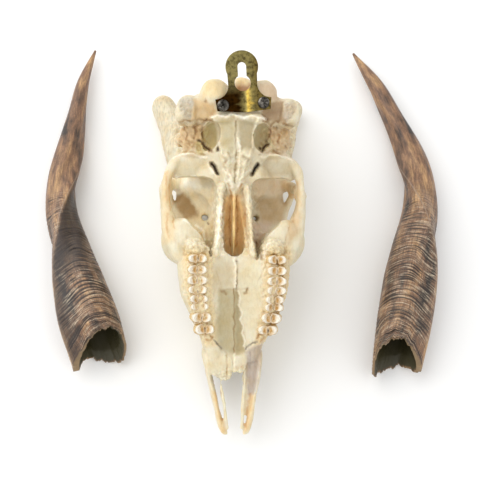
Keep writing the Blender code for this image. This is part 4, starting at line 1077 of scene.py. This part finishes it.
def coreSleeve(side):
    start, end = Vector(coreLine(side)[2][:3]), Vector(coreLine(side)[4][:3])
    run = (end - start).normalized()
    radius, length = sleeveSize["radius"], sleeveSize["length"]
    bpy.ops.mesh.primitive_cylinder_add(vertices=48, radius=radius * mm, depth=length * mm)
    sleeve = bpy.context.object
    turned = run.to_track_quat("Z", "X").to_matrix().to_4x4()
    sleeve.data.transform(Matrix.Translation((start + run * length / 2) * mm) @ turned)
    return sleeve


def partOff(whole, name, makeCutter, *shape):
    piece = whole.copy()
    piece.data = whole.data.copy()
    piece.name = name
    bpy.context.scene.collection.objects.link(piece)
    cut(piece, "INTERSECT", [makeCutter(*shape)])
    cut(whole, "DIFFERENCE", [makeCutter(*shape)])
    return piece


skullPieces = {
    "hornCoreRight": partOff(bone, "hornCoreRight", coreSleeve, 1),
    "hornCoreLeft": partOff(bone, "hornCoreLeft", coreSleeve, -1),
    **{name: partOff(bone, name, addBox, "cutter", *corners) for name, corners in parting.items()},
    "skullBase": bone,
}
bone.name = "skullBase"
replaced = {
    "hornCoreRight": ["horn_core_right"],
    "hornCoreLeft": ["horn_core_left"],
    "skullBack": ["occiput"],
    "upperJaw": ["upper_jaw", "nasal_bones", "premaxilla_left", "premaxilla_right"],
    "skullRoof": ["frontal_bones"],
    "skullBase": ["cranium", "zygomatic_arch_left", "zygomatic_arch_right"],
}
dryBone = boneMaterial("bleachedBone", boneFinish, "#F3E4C6", boneFinish["roughness"], 0.15)
coreBone = boneMaterial("porousCoreBone", boneFinish, "#F0D6AC", boneFinish["coreRoughness"], 0.55)
for name, piece in skullPieces.items():
    count = triangles(piece)
    if count > skull["mostTriangles"]:
        modify(piece, "DECIMATE", ratio=skull["mostTriangles"] / count)
    paintBone(piece)
    smoothShade(piece, 60)
    isCore = name.startswith("hornCore")
    piece.data.materials.clear()
    piece.data.materials.append(coreBone if isCore else dryBone)
    piece.data.transform(skullToWorld)
    spots = getPoints(piece)
    spots[:, 2] = np.maximum(spots[:, 2], 0)  # worn flat where it lies on the floor
    setPoints(piece, spots)
    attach(piece, "root")
    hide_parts(*replaced[name])
    print(name, count, "triangles")


# Cheek teeth: five on each side, each lobe with an outer and an inner crescent cusp

teeth = {
    "lobes": [
        # y, distance from the middle line, size, how far the dark central slit opens
        (0.6, 26.1, 1.0, 0.2), (-6.7, 26.3, 1.04, 0.3), (-13.6, 26.2, 1.06, 0.3),
        (-19.8, 25.9, 1.0, 0.2), (-25.8, 24.9, 0.92, 0.15), (-30.9, 24.4, 0.9, 0.15),
        (-38.1, 22.7, 1.05, 0.8), (-45.8, 20.7, 1.0, 1.0),
    ],
    "shift": 1.5,  # mm that both rows lie to the right of the palate's middle line
    "spacing": 6.4,  # mm between the outer and the inner cusp of a lobe
    "top": 6.2,  # mm that the peaks stand out of the palate's plane
    "root": -5.0,
    "pit": 1.5,  # mm depth of the dentine basin in a cusp
    "crest": 3.6,  # mm that a cusp's crest rises over its low side
    "cuspSize": 3.8,
    "premolar": (-33, 1.12),  # the teeth in front of this y are this much longer
    "rimAt": 0.6,  # share of a cusp's rows that lie below its rim
    "voxel": 0.36,
    "enamel": "#FDF8EA",
    "neck": "#E0BF80",
    "dentine": "#CE9A42",
    "slit": "#4A2813",
}


def addCusp(y, x, size, side, inward):
    # a column with a pointed crest round a basin; the crest is highest on its free side
    draw = np.random.default_rng(round(1000 + 10 * y + 3 * side + inward))
    across = side * (x - inward * teeth["spacing"] / 2) + teeth["shift"]
    frontY, stretch = teeth["premolar"]
    wide = teeth["cuspSize"] * size * draw.uniform(0.9, 1.08)
    long = teeth["cuspSize"] * size * (stretch if y < frontY else 1)
    free = pi if side * inward > 0 else 0
    twist, tall = draw.uniform(-0.34, 0.34), draw.uniform(-0.6, 0.5)

    def shape(around, along):
        turn = 2 * pi * around
        facing = np.cos(turn - free)
        crest = np.clip((facing + 0.25) / 1.25, 0, 1)
        peak = teeth["top"] + tall - teeth["crest"] + teeth["crest"] * crest**1.3
        rise = np.clip(along / teeth["rimAt"], 0, 1)
        sink = np.clip((along - teeth["rimAt"]) / (1 - teeth["rimAt"]), 0, 1)
        flank = 1.15 - (0.3 + 0.36 * crest) * rise**1.2
        plan = 0.92 + 0.22 * np.clip(facing, 0, 1) ** 5 - 0.07 * np.cos(4 * turn)
        u = wide * plan * (flank - 0.64 * sink) * np.cos(turn)
        v = long * plan * (flank - 0.4 * sink) * np.sin(turn)
        u -= cos(free) * (0.3 * (v / long) ** 2 * wide + 0.9 * sink)
        basin = teeth["top"] - teeth["crest"] - teeth["pit"]
        height = teeth["root"] + (peak - teeth["root"]) * rise
        height += (basin - height) * sink**0.8
        return np.stack([
            across + u * cos(twist) - v * sin(twist),
            y + u * sin(twist) + v * cos(twist),
            height,
        ], 1) * mm

    return rollGrid("cusp", 24, 30, shape)


def addTeeth(side, name):
    cusps = [
        addCusp(y, x, size, side, inward)
        for y, x, size, _ in teeth["lobes"]
        for inward in (1, -1)
    ]
    row = joinPieces(cusps, name)
    fuse(row, teeth["voxel"])
    modify(row, "SMOOTH", factor=0.5, iterations=2)
    points = getPoints(row) / mm
    points += getNormals(row) * (softNoise(points, 1.4, 31 + side) * 0.16)[:, None]
    setPoints(row, points * mm)
    return row


def paintTeeth(row, side):
    points = getPoints(row) / mm
    points[:, :2] += sideways(points, 1.4, 66, 0.3)
    across = side * (points[:, 0] - teeth["shift"])
    rise = np.clip((points[:, 2] - 0.3) / 3.5, 0, 1)[:, None]
    neck, enamel = np.array(hexColour(teeth["neck"])), np.array(hexColour(teeth["enamel"]))
    colour = neck + (enamel - neck) * rise
    for y, x, size, opened in teeth["lobes"]:
        for inward in (1, -1):
            draw = np.random.default_rng(round(2000 + 10 * y + 3 * side + inward))
            centre = x - inward * (teeth["spacing"] / 2 - 1.0) + draw.uniform(-0.3, 0.3)
            u, v = (across - centre) / size, (points[:, 1] - y - draw.uniform(-0.6, 0.6)) / size
            u = u - inward * 0.22 * v**2  # a crescent, bowed round the cusp's peak
            for wide, long, strength in ((1.5, 2.3, 0.35), (0.7, 1.9, 0.95)):
                layOver(colour, np.exp(-((u / wide) ** 2) - (v / long) ** 2) * strength, teeth["dentine"])
        gap = np.exp(-((np.abs(points[:, 1] - y) - 3.2 * size) ** 2) / 0.6)  # between two lobes
        layOver(colour, np.clip(1 - points[:, 2] / 4.5, 0, 1) * gap * 0.75, teeth["dentine"], shade=0.7)
        off = ((across - x - 0.1) / 0.4) ** 2 + ((points[:, 1] - y + 0.4) / (1.7 * size)) ** 2
        layOver(colour, np.exp(-off) * (0.45 + 0.5 * opened), teeth["slit"])
    addTint(row, colour)


wornEnamel = toothMaterial()
for side, name in ((1, "teethRight"), (-1, "teethLeft")):
    row = addTeeth(side, name)
    paintTeeth(row, side)
    smoothShade(row, 70)
    row.data.materials.append(wornEnamel)
    row.data.transform(skullToWorld)
    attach(row, "root")
    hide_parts("upper_jaw")
    print(name, triangles(row), "triangles")


# Horn sheaths, grown as keeled spirals and slipped off their cores

sheath = {
    "length": 268.0,  # mm along it
    "body": 0.9,  # radius of the round part, as a share of the half width
    "keelHeight": 0.26,  # how far the keel stands out, as a share of the half width
    "keelSpread": 0.42,  # radians
    "keelTurn": (5, 12, 20, 34, 76, 120, 168, 205, 235, 265, 290),  # degrees, from mouth to tip
    "wall": 3.2,
    "rim": 1.0,  # mm thickness of the broken edge
    "cavity": 92.0,  # mm deep
    "outerShare": 0.8,  # of the rows, the rest line the cavity
    "mouthLeft": (-1, 9, 16, 18, 18, 12, 5, -2, 1, 4, 8, 8),  # mm that the edge is cut back,
    "mouthRight": (-3, 8, 14, 12, 7, 0, -12, -12, -6, -1, 3, 0),  # every 30 degrees round
    "blend": 36.0,  # mm over which the mouth's shape fades into the horn
    "lift": 3.0,
    "tipLift": 7.0,
    "columns": 140,
    "rows": 620,
    "ringReach": 150.0,  # mm from the mouth to where the growth rings fade out
    "ringStep": (1.3, 3.2),  # mm from one groove to the next
    "ringWidth": (0.35, 0.7),
    "ringDepth": (0.2, 0.75),
    "ringLow": 0.06,  # share of the rings' depth that stays near the tip
    "ringFade": 60,  # mm over which they fade
    "deepRing": (0.14, 1.5),  # this share of the grooves is this much deeper
    # painted shade on the left sheath: on its flank between these levels, and in a strip beside the keel up
    # to this level
    "shadedFlank": (58, 155),  # mm along the left sheath between which its flank is dark
    "shadedStrip": 100,  # mm from its mouth up to which a strip beside the keel is
    "rimBand": 2.2,  # mm of pale edge at the mouth
    "left": [
        (-91, -4, 35.5), (-99, 23, 40), (-107.5, 51, 36), (-115, 79, 29), (-122, 107, 25.5),
        (-122.5, 135, 22.5), (-118.5, 164, 19), (-114.5, 193, 14.5), (-111, 224, 9.6), (-103, 255, 1.4),
    ],  # x, y and width in mm on the floor, from mouth to tip
    "right": [
        (112.5, -6, 34.5), (120, 22, 37.5), (127.5, 51, 37.5), (134, 79, 33.5), (141.5, 108, 29),
        (143, 137, 24.5), (138.5, 166, 19.5), (129, 196, 15.5), (117.5, 227, 11.5), (104.5, 256, 1.4),
    ],
}


def followKnots(knots, t):
    # smooth values at each t from 0 to 1 along evenly spaced knots
    knots = np.asarray(knots, float).reshape(len(knots), -1)
    place = np.clip(t, 0, 1) * (len(knots) - 1)
    i = np.minimum(place.astype(int), len(knots) - 2)
    f = (place - i)[:, None]
    before, near = knots[np.maximum(i - 1, 0)], knots[i]
    far, after = knots[i + 1], knots[np.minimum(i + 2, len(knots) - 1)]
    bend = 2 * before - 5 * near + 4 * far - after
    return near + 0.5 * f * (far - before + f * (bend + f * (3 * (near - far) + after - before)))


def ringProfile(level, seed):
    # depth in mm of the growth grooves at each level, a distance in mm from the mouth
    draw = np.random.default_rng(seed)
    depth = np.zeros(len(level))
    share, deeper = sheath["deepRing"]
    at = -40.0
    while at < sheath["ringReach"] + 40:
        at += draw.uniform(*sheath["ringStep"])
        width = draw.uniform(*sheath["ringWidth"])
        drop = draw.uniform(*sheath["ringDepth"]) * (deeper if draw.random() < share else 1)
        depth += drop * np.exp(-(((level - at) / width) ** 2))
    return depth


def mouthShift(angle, side):
    # how the broken mouth runs, in mm along the horn
    edge = sheath["mouthRight"] if side > 0 else sheath["mouthLeft"]
    shift = np.interp(np.degrees(angle), range(0, 360, 30), edge, period=360)
    ragged = 0.6 * np.sin(11 * angle + side) + 0.45 * np.sin(17 * angle + 1 + side)
    return shift + (ragged + 0.35 * np.sin(29 * angle) + 0.3 * np.sin(47 * angle + side))


def peaked(values, width):
    # 1 at 0, fading on both sides of it
    return np.exp(-((values / width) ** 2))


def addSheath(side, name):
    knots = sheath["right"] if side > 0 else sheath["left"]
    kept = {}

    def shape(around, alongRows):
        outside = np.clip(1 - alongRows / sheath["outerShare"], 0, 1)
        inner = np.clip((alongRows - sheath["outerShare"]) / (1 - sheath["outerShare"]), 0, 1)
        isInner = inner > 0
        t = np.where(isInner, inner * sheath["cavity"] / sheath["length"], outside)
        level = t * sheath["length"]  # mm from the mouth

        # the horn's line, and the way to its keel, which winds round it
        x, y, width = followKnots(knots, t).T
        radius = width / 2
        ahead = followKnots(knots, t + 0.02) - followKnots(knots, t - 0.02)
        heading = ahead[:, :2] / np.linalg.norm(ahead[:, :2], axis=1)[:, None]
        outward = np.stack([heading[:, 1], -heading[:, 0], 0 * t], 1) * side
        up = np.array([0, 0, 1.0])
        keel = np.radians(followKnots(sheath["keelTurn"], t)[:, 0])
        towardKeel = outward * np.cos(keel)[:, None] + up * np.sin(keel)[:, None]
        lift = sheath["lift"] * np.sin(pi * t) ** 2 + sheath["tipLift"] * t**3
        centre = np.stack([x, y, radius + lift], 1)
        centre -= towardKeel * (radius * (1 - sheath["body"]))[:, None]
        fromKeel = 2 * pi * around
        off = np.minimum(fromKeel, 2 * pi - fromKeel)
        angle = keel + fromKeel

        # the wall's thickness, the keel and the hollow beside it
        wall = sheath["rim"] + (sheath["wall"] - sheath["rim"]) * np.clip(inner * 8, 0, 1) + 5 * inner**2
        inset = np.where(isInner, wall, 0)
        crest = sheath["keelHeight"] * peaked(off, sheath["keelSpread"]) * np.where(isInner, 0.4, 1)
        crest -= 0.05 * peaked(off - 0.85, 0.3)

        # growth rings, which bow toward the mouth and break up, swellings and furrows
        grown = np.stack([radius * np.cos(angle), radius * np.sin(angle), level], 1)
        bow = 4 * np.cos(2 * angle) * np.exp(-level / 140) + 3 * peaked(off, 0.9)
        bow = bow + softNoise(grown, 14, 41 + side) * 1.6
        fade = np.clip((sheath["ringReach"] - level) / sheath["ringFade"], sheath["ringLow"], 1)
        broken = np.clip(0.62 + 0.38 * softNoise(grown, 5, 43 + side), 0.1, 1.2)
        depth = ringProfile(level + bow, 51 + side) * fade * broken * (1 - peaked(off, 0.16))
        swell = softNoise(grown, 22, 45 + side) * 0.35 * np.clip(radius / 12, 0, 1)
        furrow = np.abs(softNoise(grown * [1, 1, 0.16], 3.2, 47 + side)) * 0.12
        relief = np.where(isInner, softNoise(grown, 6, 49) * 0.25, swell - depth - furrow + 0.3)
        reach = np.maximum(radius * (sheath["body"] + crest) - inset + relief, 0.4)
        spots = centre + (outward * np.cos(angle)[:, None] + up * np.sin(angle)[:, None]) * reach[:, None]
        spots[:, 1] += mouthShift(angle, side) * np.clip(1 - level / sheath["blend"], 0, 1) ** 1.3

        # what the material reads: the left sheath also has painted shade on a flank and in a strip by its
        # mouth
        darker = (fromKeel < pi) * (side < 0)
        flank = np.clip(off / 0.15, 0, 1) * np.clip((2.2 - off) / 0.8, 0, 1) * darker
        start, end = sheath["shadedFlank"]
        flank = flank * np.clip((end - level) / 25, 0, 1) * np.clip((level - start) / 22, 0, 1) * 0.9
        strip = np.clip((0.55 - off) / 0.2, 0, 1) * darker * 0.65
        strip = strip * np.clip((sheath["shadedStrip"] - level) / 20, 0, 1)
        kept["grown"] = np.stack([grown[:, 0], grown[:, 1], level + bow * np.clip(fade, 0, 1)], 1)
        kept["rim"] = np.clip(1 - level / sheath["rimBand"], 0, 1)
        kept["inside"] = np.where(isInner, np.clip(inner * 30, 0, 1), 0)
        dark = np.maximum(flank, strip)
        outer = {"ringed": fade, "groove": depth, "keel": peaked(off, 0.05), "shade": dark}
        for key, value in outer.items():
            kept[key] = np.where(isInner, 0, value)
        return spots * mm

    horn = rollGrid(name, sheath["columns"], sheath["rows"], shape, kept)
    horn.data.transform(Matrix.Translation((laid.x, laid.y, -getPoints(horn)[:, 2].min())))
    return horn


hornFinish = {
    "dark": "#2A1F19",
    "brown": "#8A664B",
    "tan": "#C49A6A",
    "fibre": "#F0DDBF",
    "keelEdge": "#A49280",
    "rim": "#8C7553",
    "inside": "#3F3A22",
    "roughness": 0.4,
}


def hornMaterial(finish):
    # keratin: satin, layered brown, with pale frayed fibres along the growth rings
    made, tree, shader = newMaterial("weatheredKeratin", {"IOR": 1.54})
    grown = (addNode(tree, "Attribute", attribute_name="grown"), "Vector")
    noises = {}
    for name, stretch, size, detail, rough in (
        # how the pattern is drawn out along or across the horn, and its grain in mm
        ("cloud", (1.0, 1.0, 0.3), 9, 7.0, 0.62),
        ("strands", (0.09, 0.09, 1.0), 0.9, 5.0, 0.7),
        ("lengthwise", (1.0, 1.0, 0.09), 0.9, 6.0, 0.68),
        ("grit", (1.0, 1.0, 1.0), 0.7, 5.0, 0.75),
    ):
        mapped = (addNode(tree, "Mapping", {"Vector": grown, "Scale": stretch}), "Vector")
        values = {"Vector": mapped, "Scale": 1 / size, "Detail": detail, "Roughness": rough}
        noises[name] = (addNode(tree, "TexNoise", values), "Fac")
    layered = addNode(tree, "ValToRGB", {"Fac": noises["cloud"]}, [
        (0.34, finish["dark"]), (0.5, finish["brown"]), (0.68, finish["tan"]),
    ])
    strandMask = addNode(tree, "ValToRGB", {"Fac": noises["strands"]}, [(0.5, 0.0), (0.68, 0.8)])
    ringed = (addNode(tree, "Attribute", attribute_name="ringed"), "Fac")
    fraying = addNode(tree, "Math", {0: (strandMask, "Color"), 1: ringed}, operation="MULTIPLY")
    frayed = addNode(tree, "Mix", {0: (fraying, 0), 6: (layered, "Color"), 7: rgba(finish["fibre"])}, **mixed)
    under = (frayed, 2)
    for name, share, stops in (
        ("lengthwise", 0.7, [(0.38, 0.42), (0.62, 1.3)]),
        ("grit", 0.6, [(0.38, 0.5), (0.58, 1.15)]),
    ):
        over = (addNode(tree, "ValToRGB", {"Fac": noises[name]}, stops), "Color")
        under = (addNode(tree, "Mix", {0: share, 6: under, 7: over}, **multiplied), 2)
    for name, colour, stops in (
        # painted where the piece's own value is high; the shade value is painted shade
        ("groove", "dark", [(0.04, 0.0), (0.28, 0.92)]),
        ("shade", "dark", [(0.0, 0.0), (1.0, 1.0)]),
        ("keel", "keelEdge", [(0.4, 0.0), (0.95, 0.5)]),
        ("inside", "inside", [(0.0, 0.0), (1.0, 1.0)]),
        ("rim", "rim", [(0.45, 0.0), (0.85, 0.8)]),
    ):
        value = (addNode(tree, "Attribute", attribute_name=name), "Fac")
        mask = (addNode(tree, "ValToRGB", {"Fac": value}, stops), "Color")
        under = (addNode(tree, "Mix", {0: mask, 6: under, 7: rgba(finish[colour])}, **mixed), 2)
    rough = finish["roughness"]
    gloss = addNode(tree, "ValToRGB", {"Fac": noises["strands"]}, [(0.35, rough - 0.1), (0.65, rough + 0.2)])
    height = addNode(tree, "Math", {0: noises["strands"], 1: noises["lengthwise"]}, operation="ADD")
    bump = addNode(tree, "Bump", {"Strength": 0.6, "Distance": 0.4 * mm, "Height": (height, 0)})
    setInputs(tree, shader, {"Base Color": under, "Normal": (bump, "Normal"), "Roughness": (gloss, "Color")})
    return made


keratin = hornMaterial(hornFinish)
for side, name, node in (
    (1, "hornSheathRight", "horn_sheath_right"),
    (-1, "hornSheathLeft", "horn_sheath_left"),
):
    horn = addSheath(side, name)
    smoothShade(horn, 60)
    horn.data.materials.append(keratin)
    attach(horn, "root")
    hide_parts(node)
    print(name, triangles(horn), "triangles")


# Hanger plate and its two pan-head screws

screw = {
    "spots": {"screwLeft": (-14.0, 5.3), "screwRight": (13.3, 5.9)},  # mm on the plate
    "headRadius": 4.0,
    "headHeight": 2.4,
    "shankRadius": 1.7,
    "shankLength": 7.0,
    "crossHalf": 2.3,
    "crossWidth": 0.5,
    "crossDepth": 1.2,
    "crossTurn": 28,  # degrees
    "rimHeight": 0.3,  # of the head's straight edge
    "dome": 0.55,  # below 1 makes the pan head flatter on top
    "sunk": 0.6,  # mm that the shank reaches into the head
    "edge": 0.12,
}


def addScrew(name, plateX, plateY):
    bpy.ops.mesh.primitive_uv_sphere_add(segments=48, ring_count=24, radius=1)
    head = bpy.context.object
    head.name = name
    spots = getPoints(head)
    flat = spots[:, 2] < 0
    low, top = screw["rimHeight"], screw["headHeight"]
    spots[:, 2] = np.where(flat, low, low + (top - low) * np.abs(spots[:, 2]) ** screw["dome"])
    spots[:, :2] *= screw["headRadius"]
    setPoints(head, spots * mm)
    mendMesh(head)
    bpy.ops.mesh.primitive_cylinder_add(
        vertices=24, radius=screw["shankRadius"] * mm, depth=screw["shankLength"] * mm,
        location=(0, 0, (screw["sunk"] - screw["shankLength"] / 2) * mm),
    )
    shank = bpy.context.object
    bpy.ops.object.transform_apply()
    cut(head, "UNION", [shank])
    half, wide, bottom = screw["crossHalf"], screw["crossWidth"], top - screw["crossDepth"]
    cut(head, "DIFFERENCE", [
        addBox("recess", (-x, -y, bottom), (x, y, top + 1)) for x, y in ((half, wide), (wide, half))
    ])
    bevelEdges(head, screw["edge"], 2)
    tilt = radians(hanger["fold"]) if plateX > hanger["foldX"] else 0
    seat = Vector((plateX, plateY, hanger["thickness"] / 2 - float(foldDrop(plateX, plateY)))) * mm
    place = platePlace @ Matrix.Translation(seat) @ Matrix.Rotation(tilt, 4, "Y")
    head.data.transform(skullToWorld @ place @ Matrix.Rotation(radians(screw["crossTurn"]), 4, "Z"))
    return head


metalFinish = {
    "brass": ("#5A5032", "#8C8150", "#A2935A"),  # dark, middle and bright
    "steel": ("#23201C", "#5A5650", "#A29C92"),
    # painted reflections on the plate: brown low on its left wing, golden on its right wing, and a painted
    # highlight beside the fold
    "brown": "#5E4228",
    "wingReflection": "#C0A468",
    "foldHighlight": "#FFE6A0",
}


def agedMetal(name, colours, size, roughness, painted=False):
    # bare metal under a patchy tarnish, brighter where it is worn; where painted, its tint multiplies in
    # painted reflections and a painted highlight
    made, tree, shader = newMaterial(name, {"Metallic": 1.0})
    place = (addNode(tree, "TexCoord"), "Object")
    blotch = (addNode(tree, "TexNoise", {
        "Vector": place, "Scale": perMm(size), "Detail": 7.0, "Roughness": 0.62,
    }), "Fac")
    colour = (addNode(tree, "ValToRGB", {"Fac": blotch}, list(zip((0.36, 0.52, 0.68), colours))), "Color")
    if painted:
        tint = (addNode(tree, "Attribute", attribute_name="tint"), "Color")
        colour = (addNode(tree, "Mix", {0: 1.0, 6: colour, 7: tint}, **multiplied), 2)
    gloss = addNode(tree, "ValToRGB", {"Fac": blotch}, [(0.38, roughness + 0.22), (0.66, roughness)])
    scratch = (addNode(tree, "TexNoise", {"Vector": place, "Scale": perMm(0.5), "Detail": 4.0}), "Fac")
    bump = addNode(tree, "Bump", {"Strength": 0.25, "Distance": 0.08 * mm, "Height": scratch})
    setInputs(tree, shader, {"Base Color": colour, "Normal": (bump, "Normal"), "Roughness": (gloss, "Color")})
    return made


def paintPlate(piece, place):
    # painted reflections: a painted highlight beside the fold, a brown painted reflection low on the left
    # wing, a golden one on the right wing, olive elsewhere
    modify(piece, "SUBSURF", levels=2, render_levels=2, subdivision_type="SIMPLE")
    spots = np.array([place @ Vector(spot) for spot in getPoints(piece)]) / mm
    x, y = spots[:, 0], spots[:, 1]
    colour = np.ones((len(spots), 3))
    strip = np.exp(-(((x - hanger["foldX"] - 1.4) / 1.5) ** 2)) * np.clip((22 - y) / 6, 0, 1)
    wing = np.clip((x - hanger["foldX"] - 3) / 5, 0, 1) * 0.6
    brown = np.clip((hanger["foldX"] - 0.6 - x) / 3, 0, 1) * np.clip((24 - y) / 12, 0, 1)
    for share, name in ((brown, "brown"), (wing, "wingReflection"), (strip, "foldHighlight")):
        layOver(colour, share, metalFinish[name])
    # the painted highlight is also made brighter than white, up to 4.2 times
    addTint(piece, colour * (1 + 3.2 * strip)[:, None])


paintPlate(plate, (skullToWorld @ platePlace).inverted())
plate.data.materials.clear()
plate.data.materials.append(agedMetal("brassTarnishAndPaintedReflections", metalFinish["brass"], 2.6, 0.3, painted=True))
smoothShade(plate, 40)
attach(plate, "root")
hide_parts("hanger_plate")
steel = agedMetal("blackenedSteel", metalFinish["steel"], 3.0, 0.28)
for (name, (x, y)), node in zip(screw["spots"].items(), ("screw_left", "screw_right")):
    head = addScrew(name, x, y)
    smoothShade(head, 40)
    head.data.materials.clear()
    head.data.materials.append(steel)
    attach(head, "root")
    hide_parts(node)
print("hanger and screws done")


# Floor, light and the end

stage = {
    "floor": "#FBFBFA",
    "world": 0.86,
    "key": 9.5,  # W, big soft lamp from the upper left of the picture
    "keySize": 1.5,
    "fill": 0.8,
    "fillSize": 0.9,
    "boardSize": 6,  # m
}


def addStage():
    low, high = cadBox
    middle = (Vector(low) + Vector(high)) / 2
    bpy.ops.mesh.primitive_plane_add(size=stage["boardSize"], location=(middle.x, middle.y, 0))
    floor = bpy.context.object
    floor.name = "floor"
    board = newMaterial("paintedBoard", {"Roughness": 0.8, "Base Color": rgba(stage["floor"])})[0]
    floor.data.materials.append(board)  # matt white paint on a flat board
    world = bpy.data.worlds.new("softStudio")
    bpy.context.scene.world = world
    world.use_nodes = True
    sky = world.node_tree.nodes["Background"]
    setInputs(world.node_tree, sky, {"Color": (1, 1, 1, 1), "Strength": stage["world"]})
    for name, spot, power, size in (
        ("keyLight", (-0.75, 0.3, 0.85), stage["key"], stage["keySize"]),
        ("fillLight", (0.7, -0.6, 0.6), stage["fill"], stage["fillSize"]),
    ):
        bpy.ops.object.light_add(type="AREA", location=middle + Vector(spot))
        lamp = bpy.context.object
        lamp.name = name
        lamp.data.energy = power
        lamp.data.size = size
        lamp.rotation_euler = Vector(spot).to_track_quat("Z", "Y").to_euler()
    bpy.context.scene.view_settings.view_transform = "Standard"


addStage()
